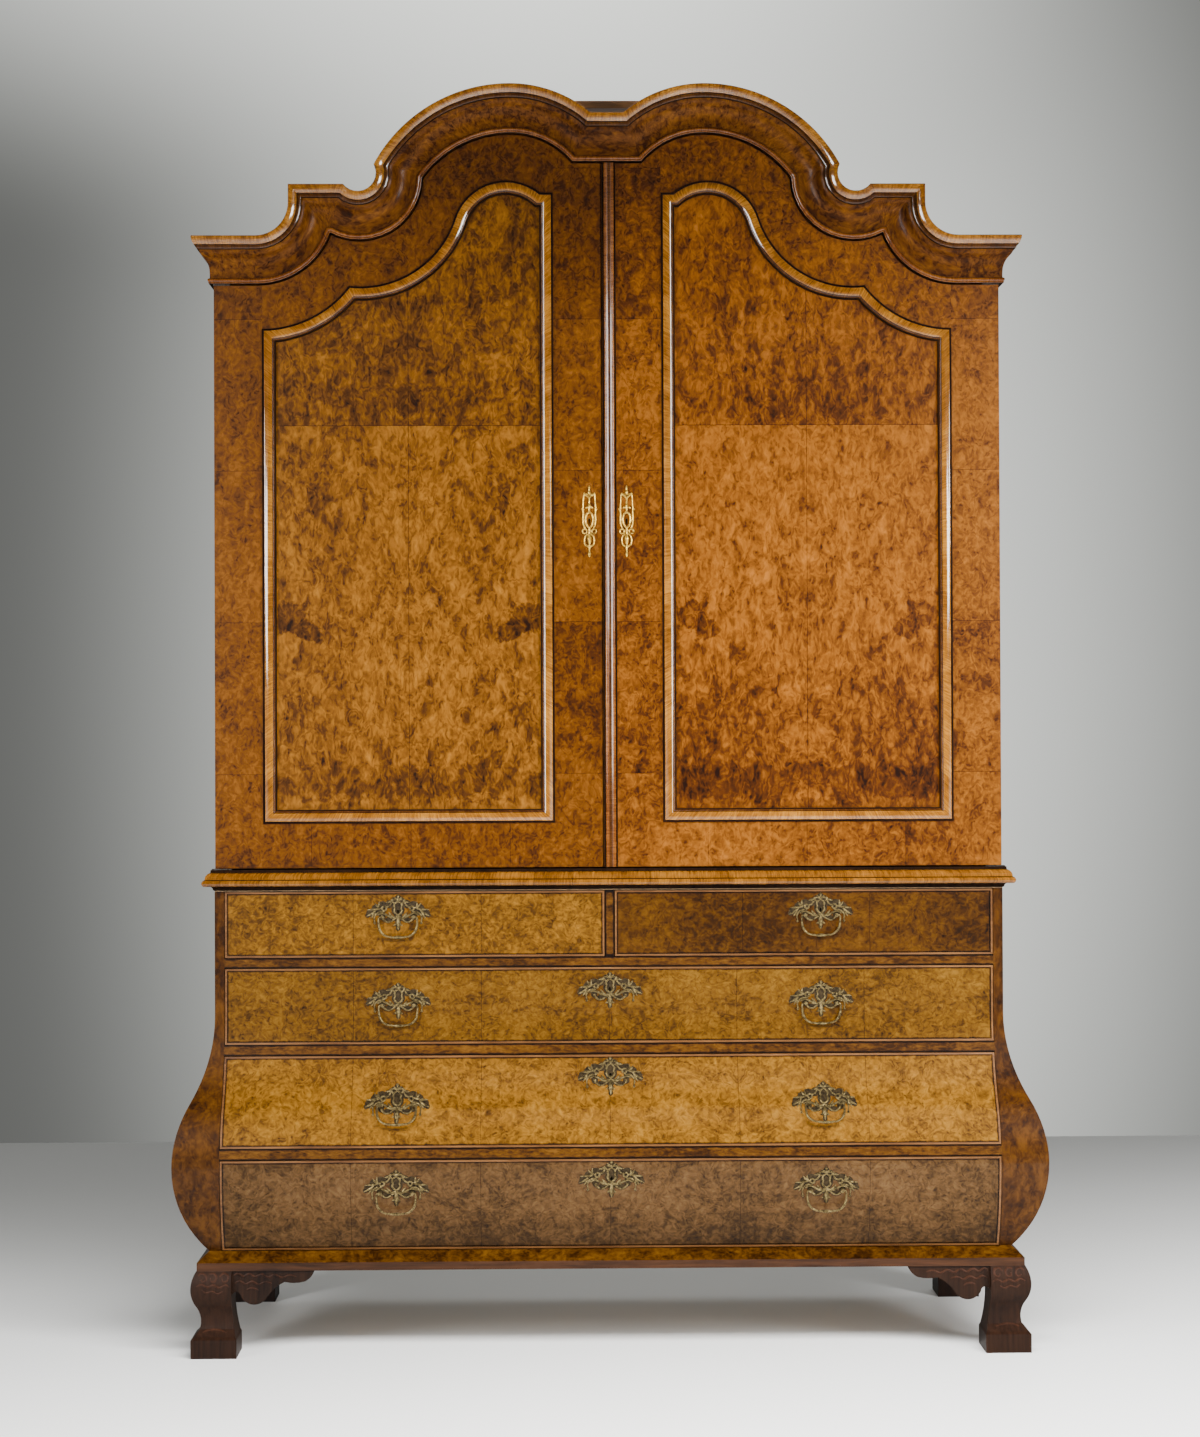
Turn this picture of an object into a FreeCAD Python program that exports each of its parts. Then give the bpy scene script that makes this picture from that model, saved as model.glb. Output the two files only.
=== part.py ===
# A two-part bombe kas: a two-door cupboard under a double-domed cornice, on a swelling chest of
# five drawers with bracketed feet. Millimetres, +Z up, +X to the viewer's right, -Y to the front.
# The origin is on the floor, under the middle of the whole piece.
import FreeCAD, Part
import math
import os

V = FreeCAD.Vector

# ------------------------------------------------------------------ driving dimensions
# Upper case
CASE_HALF = 779.5          # half the width over the sides
BOARD = 22.0               # thickness of sides and long boards
UPPER_DEPTH = 500.0        # door face to back
BACK_BOARD = 12.0
DOOR_THICK = 30.0
DOOR_REAR_GAP = 3.0        # door back to the case edge
DOOR_GAP = 3.0             # door top to the bead, and door foot to the waist moulding
DOOR_SIDE_INSET = 1.5      # door edge inside the side of the case
LEFT_DOOR_EDGE = -12.5     # the meeting edges stand a little left of the middle,
RIGHT_DOOR_EDGE = -10.5    # because the strip that covers them belongs to the right door
UPPER_HEIGHT = 1246.0      # from the waist moulding to the cornice's wings
SHELF_RISES = (298.0, 598.0, 898.0)          # shelves above the cupboard's floor
SHELF_THICK = 20.0
ROOF_THICK = 18.0
SILL = 2.0                 # the cupboard's floor below the waist moulding's top

# Lower case
LOWER_DEPTH = 515.0
LOWER_SIDE_THICK = 19.0    # beside the drawers, where the sides are upright
ROW_HEIGHTS = (182.0, 172.0, 151.5, 132.5)   # drawer openings, lowest first
RAIL_HEIGHTS = (21.0, 20.0, 19.0)
RAIL_DEPTH = 75.0
TOP_BOARD = 18.0
DIVIDER_HALF = 9.0
DRAWER_GAP = 1.5           # round each drawer front
RUNNER_WIDTH = 38.0
RUNNER_THICK = 18.0

# Swell of the lower case: depth of the belly and of the neck below it, past the upright part
BELLY_RISE = 166.5         # belly above the base frame
SWELL_RISE = 286.0         # end of the swell above the belly
SIDE_BELLY = 73.3
SIDE_NECK = 5.5
FRONT_BELLY = 90.0
FRONT_NECK = 50.0
HOLLOW_SHARE = 0.58        # share of the S-curve's two radii that the hollow part has

# Waist and base mouldings, feet
WAIST_LAP = 16.5           # the waist moulding hangs below the seam of the two cases
WAIST_HEIGHT = 41.0
WAIST_REACH = 22.0
BASE_FOOT = 168.0
BASE_HEIGHT = 35.5
BASE_EDGE = 15.5           # upright edge of the base moulding
BASE_REACH = 22.0
BASE_WIDTH = 60.0          # members of the base frame, inwards from the neck
FOOT_SIDE_PROUD = 11.0     # a front foot's block outside the base moulding
FOOT_FRONT_PROUD = 10.0
FOOT_WIDTH = 89.0
FOOT_BLOCK = 41.0
FOOT_CHAMFER = 5.0
KNEE_DROP = 36.0           # widest part of the knee below the base frame
ANKLE_RISE = 34.0          # narrowest part of the ankle above the block
ANKLE_IN = 18.0            # and inside the block's outer face
CALF_RISE = 26.0           # start of the knee above the ankle
CALF_IN = 9.0
HIP_IN = 10.0
LEG_BACK = 10.6            # upright inner face of the leg, outside the block's inner face
REAR_FOOT_DEPTH = 85.0
REAR_FOOT_WIDTH = 98.0
REAR_FOOT_PROUD = 1.0
REAR_FOOT_TAPER = 10.0
BRACKET_THICK = 20.0
BRACKET_SET_BACK = 14.0    # behind the foot's outer faces
# Scalloped lower edge of a bracket as (distance from the foot, drop), three points to an arc
BRACKET_EDGE = ((0.0, 50.0), (9.0, 41.0), (18.0, 50.0), (43.0, 66.0), (68.0, 53.0), (81.0, 37.0),
                (103.0, 22.5), (122.0, 24.5), (141.0, 22.0), (153.0, 14.0), (161.0, 0.0))

# Cornice: the outer edge of its top, right half, from the middle outwards
DOME_RISE = 198.0          # domes above the shoulders
DOME_OUTER_RADIUS = 304.0
DIP_DROP = 57.0            # the flat in the middle, below the domes
DIP_HALF = 32.4
SCOOP_REACH = 299.0        # from the middle of a dome to the small hollow at its outer foot
SCOOP_RISE = 22.0          # centre of the hollow above the shoulder
SCOOP_RADIUS = 36.0
SHOULDER_REACH = 136.5     # from the hollow's centre to the end of the shoulder
SHOULDER_RISE = 101.0      # shoulders above the wings
WING_LENGTH = 153.0        # from the end of the shoulder to the case's side
COVE_RADIUS = 65.0
CORNICE_FRONT = 50.0       # how far the top edge stands in front of the doors
SIDE_SHARE = 0.77          # the cornice stands out less at the sides
BEAD_FOOT = 88.0           # how far the moulding reaches below its top edge
HEAD_BOARD = 22.0
HEAD_INSET = 8.0           # the frieze board behind stands back from the cornice's edge
HEAD_REACH = 130.0         # its straight lower edge, below the wings
PLATFORM_DROP = 10.0       # top of the platform below the domes
PLATFORM_HALF = 230.0
PLATFORM_THICK = 15.0
PLATFORM_DEPTH = 170.0
PLATFORM_END = 40.0        # its board past its uprights, at the ends
PLATFORM_OVERHANG = 15.0   # and at the back

# Door panels, right door
PANEL_INNER = 107.0        # inner edge of the moulding round the panel
OUTER_MARGIN = 96.5        # from its outer edge to the case's side
LOWER_MARGIN = 91.0        # from its foot to the waist moulding
PANEL_TOP_DROP = 8.7       # its top inner corner below the cornice's shoulder
PANEL_DOME_IN = 93.0       # centre of the dome from the inner edge
PANEL_DOME_DROP = 83.3     # and below the top inner corner
PANEL_DOME_RADIUS = 107.5
PANEL_SWEEP_IN = 195.0     # centre of the hollow sweep from the outer edge
PANEL_SWEEP_RISE = 9.7     # and above the top inner corner
PANEL_COVE_DROP = 52.8     # centre of the hollow in the outer top corner, which lies on the edge
PANEL_COVE_RADIUS = 216.5
MOULDING_WIDTH = 27.0
REBATE = 12.0              # the frame reaches this far under the moulding
PANEL_SET_BACK = 6.0
PANEL_THICK = 16.0
FIT = 0.3                  # clearance round a panel

# Pivots, locks and handles
PIVOT_IN = 11.5            # pivot axis inside the case's side
PIVOT_BACK = 10.0          # and behind the door face
PIVOT_RADIUS = 4.0
PIVOT_CLEARANCE = 0.05
PIVOT_LENGTH = 20.0
PIVOT_PLATE = 1.8
PIVOT_PLATE_HALF = 8.0
PIVOT_PLATE_IN = 22.0      # plate's inner end from the pivot axis
PIVOT_PLATE_OUT = 6.0      # lower plate's outer end past the case's side
ESCUTCHEON_X = 37.0
ESCUTCHEON_RISE = 684.0    # above the door's foot
HANDLE_IN = 361.5          # handles from the case's side
HANDLE_DROPS = (55.5, 89.5, 66.0, 43.5)      # below the head of each row's opening, lowest row first
KEY_DROPS = (41.0, 41.0, 47.0, 43.5)
PLATE_THICK = 2.5
POST_X = 31.0
POST_DROP = 8.0            # bail pivots below the middle of the plate
POST_RADIUS = 3.5
POST_LENGTH = 14.0
POST_SPIGOT = 2.5
SPIGOT_DEPTH = 12.0
PIVOT_STAND = 9.0          # bail pivots in front of the drawer front
BAIL_RADIUS = 2.2
BAIL_CLEARANCE = 0.08
BAIL_POST_GAP = 0.5
BAIL_DROP = 40.0
BAIL_CORNER = 21.0
BAIL_END_BEND = 3.0
FRONT_THICK = 28.0         # drawer fronts, measured along Y
COCKBEAD = 3.5
COCKBEAD_PROUD = 2.0
DRAWER_SIDE = 12.0
DRAWER_SIDE_GAP = 3.5
DRAWER_BOTTOM = 8.0
DRAWER_REAR_GAP = 12.0
DRAWER_HEAD_ROOM = 10.0
LOCK_WIDTH = 70.0
LOCK_HEIGHT = 52.0
LOCK_DEPTH = 12.0
BOLT_WIDTH = 30.0
BOLT_THICK = 5.0
BOLT_HEIGHT = 20.0
BOLT_TRAVEL = 9.0
BOLT_PLAY = 0.4
DOOR_LOCK_WIDTH = 80.0
DOOR_LOCK_HEIGHT = 120.0
DOOR_LOCK_DEPTH = 18.0
DOOR_BOLT_HEIGHT = 40.0
DOOR_BOLT_LENGTH = 55.0
DOOR_BOLT_THICK = 8.0
DOOR_BOLT_TRAVEL = 12.0

# ------------------------------------------------------------------ worked-out places
CARCASS_FRONT = DOOR_THICK + DOOR_REAR_GAP
CASE_INNER = CASE_HALF - BOARD
BODY_FOOT = BASE_FOOT + BASE_HEIGHT
BELLY_HEIGHT = BODY_FOOT + BELLY_RISE
SWELL_TOP = BELLY_HEIGHT + SWELL_RISE
UPPER_FOOT = BODY_FOOT + sum(ROW_HEIGHTS) + sum(RAIL_HEIGHTS) + TOP_BOARD
WAIST_FOOT = UPPER_FOOT - WAIST_LAP
WAIST_TOP = WAIST_FOOT + WAIST_HEIGHT
WING = WAIST_TOP + UPPER_HEIGHT              # height of the cornice's flat wings
SHOULDER = WING + SHOULDER_RISE
SHOULDER_END = CASE_HALF - WING_LENGTH
SCOOP_X = SHOULDER_END - SHOULDER_REACH
SCOOP_Z = SHOULDER + SCOOP_RISE
DOME_X = SCOOP_X - SCOOP_REACH
DOME_TOP = SHOULDER + DOME_RISE
CORNICE_DIP = DOME_TOP - DIP_DROP
HEAD_FOOT = WING - HEAD_REACH
PLATFORM_TOP = DOME_TOP - PLATFORM_DROP
DOOR_FOOT = WAIST_TOP + DOOR_GAP
DOOR_OUTER = CASE_HALF - DOOR_SIDE_INSET
DOOR_HEAD = WING - BEAD_FOOT - DOOR_GAP      # near the pivots, where the cornice is level
PANEL_OUTER = CASE_HALF - OUTER_MARGIN
PANEL_FOOT = WAIST_TOP + LOWER_MARGIN
PANEL_SHOULDER = SHOULDER - PANEL_TOP_DROP
CUPBOARD_FLOOR = WAIST_TOP - SILL
NECK_HALF = CASE_HALF + SIDE_NECK
DRAWER_OPENING_HALF = CASE_HALF - LOWER_SIDE_THICK
ROW_HALF = DRAWER_OPENING_HALF - DRAWER_GAP
LOWER_BACK = LOWER_DEPTH - BACK_BOARD
CORNICE_HALF = CASE_HALF + SIDE_SHARE * CORNICE_FRONT
PIVOT_X = CASE_HALF - PIVOT_IN
ESCUTCHEON_Z = DOOR_FOOT + ESCUTCHEON_RISE
HANDLE_X = CASE_HALF - HANDLE_IN
FOOT_OUTER = NECK_HALF + BASE_REACH + FOOT_SIDE_PROUD
FOOT_INNER = FOOT_OUTER - FOOT_WIDTH
FOOT_FRONT = -FRONT_NECK - BASE_REACH - FOOT_FRONT_PROUD
REAR_FOOT_OUTER = NECK_HALF + BASE_REACH + REAR_FOOT_PROUD
REAR_FOOT_INNER = REAR_FOOT_OUTER - REAR_FOOT_WIDTH
BAIL_HALF = POST_X + POST_RADIUS + BAIL_POST_GAP + BAIL_END_BEND


# ------------------------------------------------------------------ plain shapes
def box(x0, x1, y0, y1, z0, z1):
    return Part.makeBox(x1 - x0, y1 - y0, z1 - z0, V(x0, y0, z0))


def mirrored(shape):
    return shape.mirror(V(0, 0, 0), V(1, 0, 0))


def both_sides(shape):
    return [shape, mirrored(shape)]


def rod(start, direction, radius, length):
    return Part.makeCylinder(radius, length, start, direction)


def prism_between(first, second):
    """The solid between two like polygons, side faces straight from one to the other."""
    count = len(first)
    faces = [Part.Face(Part.makePolygon(first + first[:1])),
             Part.Face(Part.makePolygon(second + second[:1]))]
    for i in range(count):
        j = (i + 1) % count
        faces.append(Part.Face(Part.makePolygon([first[i], first[j], second[j], second[i], first[i]])))
    return solid_of(faces)


def solid_of(faces):
    shell = Part.Shell(faces)
    shell.sewShape(SEWING)
    solid = Part.Solid(shell)
    if solid.Volume < 0:
        solid.reverse()
    return solid


# ------------------------------------------------------------------ paths of lines and arcs
SHORTEST_RUN = 1e-8
SEWING = 1e-3
NUDGE = 1e-7               # a level stands this far before the offset where a stretch runs out


# A path is a list of stretches in a plane. Offsets are to its right, seen along its travel.
def line(start, end):
    return {"kind": "line", "start": start, "end": end}


def arc(centre, start, end, turn):
    """A round stretch; turn is 1 anticlockwise and -1 clockwise."""
    radius = math.dist(centre, start)
    return {"kind": "arc", "centre": centre, "radius": radius, "start": start, "end": end, "turn": turn}


def heading(stretch, point):
    if stretch["kind"] == "line":
        length = math.dist(stretch["start"], stretch["end"])
        return ((stretch["end"][0] - stretch["start"][0]) / length,
                (stretch["end"][1] - stretch["start"][1]) / length)
    radius = math.dist(stretch["centre"], point)
    across = ((point[0] - stretch["centre"][0]) / radius, (point[1] - stretch["centre"][1]) / radius)
    return (-stretch["turn"] * across[1], stretch["turn"] * across[0])


def moved_right(stretch, point, offset):
    ahead = heading(stretch, point)
    return (point[0] + ahead[1] * offset, point[1] - ahead[0] * offset)


def line_meets_line(point, ahead, other, other_ahead):
    cross = ahead[0] * other_ahead[1] - ahead[1] * other_ahead[0]
    reach = ((other[0] - point[0]) * other_ahead[1] - (other[1] - point[1]) * other_ahead[0]) / cross
    return [(point[0] + ahead[0] * reach, point[1] + ahead[1] * reach)]


def line_meets_circle(point, ahead, centre, radius):
    along = (centre[0] - point[0]) * ahead[0] + (centre[1] - point[1]) * ahead[1]
    foot = (point[0] + ahead[0] * along, point[1] + ahead[1] * along)
    half = math.sqrt(max(0.0, radius ** 2 - math.dist(foot, centre) ** 2))
    return [(foot[0] + side * ahead[0] * half, foot[1] + side * ahead[1] * half) for side in (-1, 1)]


def circle_meets_circle(centre, radius, other, other_radius):
    gap = math.dist(centre, other)
    ahead = ((other[0] - centre[0]) / gap, (other[1] - centre[1]) / gap)
    along = (radius ** 2 - other_radius ** 2 + gap ** 2) / (2 * gap)
    half = math.sqrt(max(0.0, radius ** 2 - along ** 2))
    foot = (centre[0] + ahead[0] * along, centre[1] + ahead[1] * along)
    return [(foot[0] - side * ahead[1] * half, foot[1] + side * ahead[0] * half) for side in (-1, 1)]


def offset_corner(before, after, offset):
    """Where two neighbouring stretches meet once both have moved to the right."""
    end, start = before["end"], after["start"]
    ahead, next_ahead = heading(before, end), heading(after, start)
    end, start = moved_right(before, end, offset), moved_right(after, start, offset)
    smooth = math.dist(ahead, next_ahead) < 0.02
    if smooth and math.dist(before["end"], after["start"]) < 0.01:
        return start
    near = ((end[0] + start[0]) / 2, (end[1] + start[1]) / 2)
    kinds = (before["kind"], after["kind"])
    if kinds == ("line", "line"):
        meets = line_meets_line(end, ahead, start, next_ahead)
    elif kinds == ("line", "arc"):
        meets = line_meets_circle(end, ahead, after["centre"], moved_radius(after, offset))
    elif kinds == ("arc", "line"):
        meets = line_meets_circle(start, next_ahead, before["centre"], moved_radius(before, offset))
    else:
        meets = circle_meets_circle(before["centre"], moved_radius(before, offset),
                                    after["centre"], moved_radius(after, offset))
    return min(meets, key=lambda point: math.dist(point, near))


def moved_radius(stretch, offset):
    return stretch["radius"] + stretch["turn"] * offset


def run_length(stretch, start, end):
    """How far a stretch runs forwards between its moved corners; less than nothing if it has run out."""
    if stretch["kind"] == "line":
        ahead = heading(stretch, start)
        return (end[0] - start[0]) * ahead[0] + (end[1] - start[1]) * ahead[1]
    quarter = math.pi / 2
    sweep = (sweep_of(stretch, start, end) + quarter) % (2 * math.pi) - quarter
    return sweep * math.dist(stretch["centre"], start)


def sweep_of(stretch, start, end):
    centre = stretch["centre"]
    first = math.atan2(start[1] - centre[1], start[0] - centre[0])
    last = math.atan2(end[1] - centre[1], end[0] - centre[0])
    return (stretch["turn"] * (last - first)) % (2 * math.pi)


def offset_stretches(path, offset, closed):
    """The stretches that remain at this offset, each as (index, start, end)."""
    kept = list(range(len(path)))
    while True:
        corners = {}
        for place, index in enumerate(kept):
            before = path[kept[place - 1]]
            if place == 0 and not closed:
                corners[index] = moved_right(path[index], path[index]["start"], offset)
            else:
                corners[index] = offset_corner(before, path[index], offset)
        result = []
        for place, index in enumerate(kept):
            last = place == len(kept) - 1
            if last and not closed:
                end = moved_right(path[index], path[index]["end"], offset)
            else:
                end = corners[kept[(place + 1) % len(kept)]]
            result.append((index, corners[index], end))
        shortest = min(result, key=lambda row: run_length(path[row[0]], row[1], row[2]))
        if run_length(path[shortest[0]], shortest[1], shortest[2]) > SHORTEST_RUN:
            return result
        kept.remove(shortest[0])


def stretch_edge(stretch, start, end, place):
    """The edge from start to end along a stretch; place turns plane points into space."""
    if stretch["kind"] == "line":
        return Part.makeLine(place(start), place(end))
    centre = stretch["centre"]
    first = math.atan2(start[1] - centre[1], start[0] - centre[0])
    middle = first + stretch["turn"] * sweep_of(stretch, start, end) / 2
    radius = math.dist(centre, start)
    halfway = (centre[0] + radius * math.cos(middle), centre[1] + radius * math.sin(middle))
    return Part.Arc(place(start), place(halfway), place(end)).toShape()


def offset_wire(path, offset, place):
    edges = [stretch_edge(path[index], start, end, place)
             for index, start, end in offset_stretches(path, offset, True)]
    return Part.Wire(edges)


def with_endings(path, outline, closed):
    """The outline's points, with one more at each offset where a stretch runs out."""
    def living(offset):
        return [index for index, _, _ in offset_stretches(path, offset, closed)]

    points = []
    for (offset, rise), (next_offset, next_rise) in zip(outline, outline[1:] + outline[:1]):
        points.append((offset, rise))
        done, state = 0.0, living(offset)
        while state != living(next_offset):
            low, high = done, 1.0
            while high - low > NUDGE / 1e4:
                share = (low + high) / 2
                same = living(offset + share * (next_offset - offset)) == state
                low, high = (share, high) if same else (low, share)
            beyond = living(offset + high * (next_offset - offset))
            nudge = NUDGE / abs(next_offset - offset)
            share = low - nudge if len(state) > len(beyond) else high + nudge
            point = (offset + share * (next_offset - offset), rise + share * (next_rise - rise))
            if math.dist(point, points[-1]) > SEWING:
                points.append(point)
            done, state = high, beyond
    return points


def mitred_moulding(path, outline, place, closed=True, end_place=None):
    """A moulding that follows a path with mitred corners.

    outline is its closed section as (offset, rise) points, place(point, rise) gives the point in
    space, and end_place(point, rise, which) cuts the two ends of an open path."""
    def spot(point, rise, which):
        if closed or which is None:
            return place(point, rise)
        return end_place(point, rise, which)

    faces = []
    ends = ([], [])
    levels = with_endings(path, outline, closed)
    last = len(path) - 1
    for (offset, rise), (next_offset, next_rise) in zip(levels, levels[1:] + levels[:1]):
        near = {index: (start, end) for index, start, end in offset_stretches(path, offset, closed)}
        far = {index: (start, end) for index, start, end in offset_stretches(path, next_offset, closed)}
        for index in sorted(set(near) & set(far)):
            rows = [(start, end, spot(start, level, 0 if index == 0 else None),
                     spot(end, level, 1 if index == last else None), level)
                    for (start, end), level in ((near[index], rise), (far[index], next_rise))]
            faces.append(strip(path[index], rows[0], rows[1], place))
        if not closed:
            ends[0].append(spot(near[0][0], rise, 0))
            ends[1].append(spot(near[last][1], rise, 1))
    faces += [Part.Face(Part.makePolygon(points + points[:1])) for points in ends if points]
    return solid_of([face for face in faces if face is not None])


def strip(stretch, near, far, place):
    """The face between one stretch at two levels of a moulding's section."""
    if stretch["kind"] == "line":
        points = [near[2], near[3], far[3], far[2]]
        distinct = [p for i, p in enumerate(points) if (p - points[i - 1]).Length > SEWING]
        if len(distinct) < 3:
            return None
        return Part.Face(Part.makePolygon(distinct + distinct[:1]))
    first = stretch_edge(stretch, near[0], near[1], lambda point: place(point, near[4]))
    second = stretch_edge(stretch, far[0], far[1], lambda point: place(point, far[4]))
    return Part.makeRuledSurface(first, second)


def mitred_members(path, outline, place):
    """One straight solid for each line of an open path, mitred where they meet."""
    members = []
    for index in range(len(path)):
        rings = ([], [])
        for offset, rise in outline:
            _, start, end = offset_stretches(path, offset, False)[index]
            rings[0].append(place(start, rise))
            rings[1].append(place(end, rise))
        members.append(prism_between(rings[0], rings[1]))
    return members


def front_place(point, rise):
    """Plane (x, z) with the rise towards the front."""
    return V(point[0], -rise, point[1])


def plan_place(point, rise):
    """Plane (x, y) with the rise as height."""
    return V(point[0], point[1], rise)


# ------------------------------------------------------------------ the swell of the lower case
def swell(belly, neck):
    """An S-curve: upright, hollow, round over the belly, then in to the neck."""
    height = SWELL_TOP - BELLY_HEIGHT
    radii = (height ** 2 + belly ** 2) / (2 * belly)
    hollow = radii * HOLLOW_SHARE
    round_part = radii - hollow
    drop = BELLY_HEIGHT - BODY_FOOT
    under = ((belly - neck) ** 2 + drop ** 2) / (2 * (belly - neck))
    turn = BELLY_HEIGHT + round_part * height / radii
    return {"belly": belly, "hollow": hollow, "round": round_part, "under": under, "turn": turn}


FRONT_SWELL = swell(FRONT_BELLY, FRONT_NECK)
SIDE_SWELL = swell(SIDE_BELLY, SIDE_NECK)


def swell_depth(curve, z):
    if z >= SWELL_TOP:
        return 0.0
    if z >= curve["turn"]:
        return curve["hollow"] - math.sqrt(curve["hollow"] ** 2 - (SWELL_TOP - z) ** 2)
    radius = curve["round"] if z >= BELLY_HEIGHT else curve["under"]
    return curve["belly"] - radius + math.sqrt(radius ** 2 - (z - BELLY_HEIGHT) ** 2)


def swell_slope(curve, z):
    step = 0.5
    return (swell_depth(curve, z + step) - swell_depth(curve, z - step)) / (2 * step)


def swell_edges(curve, low, high, spot):
    """Edges along the curve from low to high; spot(depth, z) places a point in space."""
    breaks = [z for z in (BELLY_HEIGHT, curve["turn"], SWELL_TOP) if low + 0.01 < z < high - 0.01]
    edges = []
    levels = [low] + breaks + [high]
    for z0, z1 in zip(levels, levels[1:]):
        start, end = spot(swell_depth(curve, z0), z0), spot(swell_depth(curve, z1), z1)
        middle = (z0 + z1) / 2
        if z0 >= SWELL_TOP - 0.01:
            edges.append(Part.makeLine(start, end))
        else:
            edges.append(Part.Arc(start, spot(swell_depth(curve, middle), middle), end).toShape())
    return edges


def front_slab(x0, x1, low, high, ahead, behind):
    """A slab that follows the swollen front, between two distances before and behind it."""
    front = swell_edges(FRONT_SWELL, low, high, lambda depth, z: V(x0, -depth - ahead, z))
    back = swell_edges(FRONT_SWELL, low, high, lambda depth, z: V(x0, -depth + behind, z))
    return between_edges(front, back).extrude(V(x1 - x0, 0, 0))


def front_to_plane(x0, x1, low, high, ahead, back_y):
    """A solid between the swollen front and an upright plane behind it."""
    front = swell_edges(FRONT_SWELL, low, high, lambda depth, z: V(x0, -depth - ahead, z))
    back = [Part.makeLine(V(x0, back_y, low), V(x0, back_y, high))]
    return between_edges(front, back).extrude(V(x1 - x0, 0, 0))


def between_edges(front, back):
    foot = Part.makeLine(front[0].Vertexes[0].Point, back[0].Vertexes[0].Point)
    top = Part.makeLine(front[-1].Vertexes[-1].Point, back[-1].Vertexes[-1].Point)
    return Part.Face(Part.Wire(Part.__sortEdges__([foot] + front + [top] + back)))


# ------------------------------------------------------------------ cornice outline
def cornice_path():
    """The outer top edge from the left tip to the right tip, in (x, z)."""
    rise = CORNICE_DIP - DOME_TOP
    reach = DOME_X - DIP_HALF
    inner_radius = (reach ** 2 + rise ** 2) / (-2 * rise)
    inner_centre = (DOME_X, DOME_TOP - inner_radius)
    outer_centre = (DOME_X, DOME_TOP - DOME_OUTER_RADIUS)
    scoop_centre = (SCOOP_X, SCOOP_Z)
    cusp = max(circle_meets_circle(outer_centre, DOME_OUTER_RADIUS, scoop_centre, SCOOP_RADIUS),
               key=lambda point: point[1])
    scoop_end = (SCOOP_X + math.sqrt(SCOOP_RADIUS ** 2 - (SCOOP_Z - SHOULDER) ** 2), SHOULDER)
    cove_centre = (SHOULDER_END + COVE_RADIUS, WING + COVE_RADIUS)
    right = [
        arc(inner_centre, (DIP_HALF, CORNICE_DIP), (DOME_X, DOME_TOP), -1),
        arc(outer_centre, (DOME_X, DOME_TOP), cusp, -1),
        arc(scoop_centre, cusp, scoop_end, 1),
        line(scoop_end, (SHOULDER_END, SHOULDER)),
        line((SHOULDER_END, SHOULDER), (SHOULDER_END, cove_centre[1])),
        arc(cove_centre, (SHOULDER_END, cove_centre[1]), (cove_centre[0], WING), 1),
        line((cove_centre[0], WING), (CORNICE_HALF, WING)),
    ]
    flat = line((-DIP_HALF, CORNICE_DIP), (DIP_HALF, CORNICE_DIP))
    return [mirror_stretch(stretch) for stretch in reversed(right)] + [flat] + right


def mirror_stretch(stretch):
    start, end = stretch["end"], stretch["start"]
    start, end = (-start[0], start[1]), (-end[0], end[1])
    if stretch["kind"] == "line":
        return line(start, end)
    return arc((-stretch["centre"][0], stretch["centre"][1]), start, end, stretch["turn"])


CORNICE = cornice_path()


def under_cornice(offset, y0, y1, x0, x1, foot):
    """Everything under the cornice line moved down by an offset, between two planes."""
    stretches = offset_stretches(CORNICE, offset, False)
    at = lambda point: V(point[0], y0, point[1])
    edges = [stretch_edge(CORNICE[index], start, end, at) for index, start, end in stretches]
    left, right = stretches[0][1], stretches[-1][2]
    low = foot - 10.0
    edges.append(Part.makeLine(at(right), at((right[0], low))))
    edges.append(Part.makeLine(at((right[0], low)), at((left[0], low))))
    edges.append(Part.makeLine(at((left[0], low)), at(left)))
    whole = Part.Face(Part.Wire(edges)).extrude(V(0, y1 - y0, 0))
    return whole.common(box(x0, x1, y0 - 1, y1 + 1, foot, DOME_TOP + 1))


def cornice_section():
    """Section of the cornice moulding as (down, forward): band, step, ogee, neck and bead."""
    front = CORNICE_FRONT
    return [(0.0, front - 1.0), (6.0, front), (17.0, front - 8.0), (17.0, front - 12.0),
            (30.0, front - 23.0), (40.0, front - 27.0), (50.0, front - 36.0), (58.0, front - 42.0),
            (BEAD_FOOT - 10.0, front - 42.0), (BEAD_FOOT - 8.5, front - 38.0),
            (BEAD_FOOT - 4.5, front - 36.0), (BEAD_FOOT, front - 38.5), (BEAD_FOOT, 0.0), (0.0, 0.0)]


def cornice_end(point, rise, which):
    side = -1 if which == 0 else 1
    return V(side * (CASE_HALF + SIDE_SHARE * rise), -rise, point[1])


def make_cornice_moulding():
    section = cornice_section()
    front = mitred_moulding(CORNICE, section, front_place, closed=False, end_place=cornice_end)
    mitre = [V(CASE_HALF + SIDE_SHARE * rise, -rise, WING - down) for down, rise in section]
    rear = [V(point.x, UPPER_DEPTH, point.z) for point in mitre]
    return [front] + both_sides(prism_between(mitre, rear))


def make_cornice_board():
    outer = under_cornice(0.0, 0.0, CARCASS_FRONT, -CASE_HALF, CASE_HALF, WING - BEAD_FOOT)
    return [outer.cut(under_cornice(BEAD_FOOT, -1.0, CARCASS_FRONT + 1, -CASE_HALF - 1, CASE_HALF + 1,
                                    WING - 3 * BEAD_FOOT))]


def make_head_board():
    """The frieze board behind the arched door heads, which stops them and closes the case."""
    y0, y1 = CARCASS_FRONT, CARCASS_FRONT + HEAD_BOARD
    return [under_cornice(HEAD_INSET, y0, y1, -CASE_INNER, CASE_INNER, HEAD_FOOT)]


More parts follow.
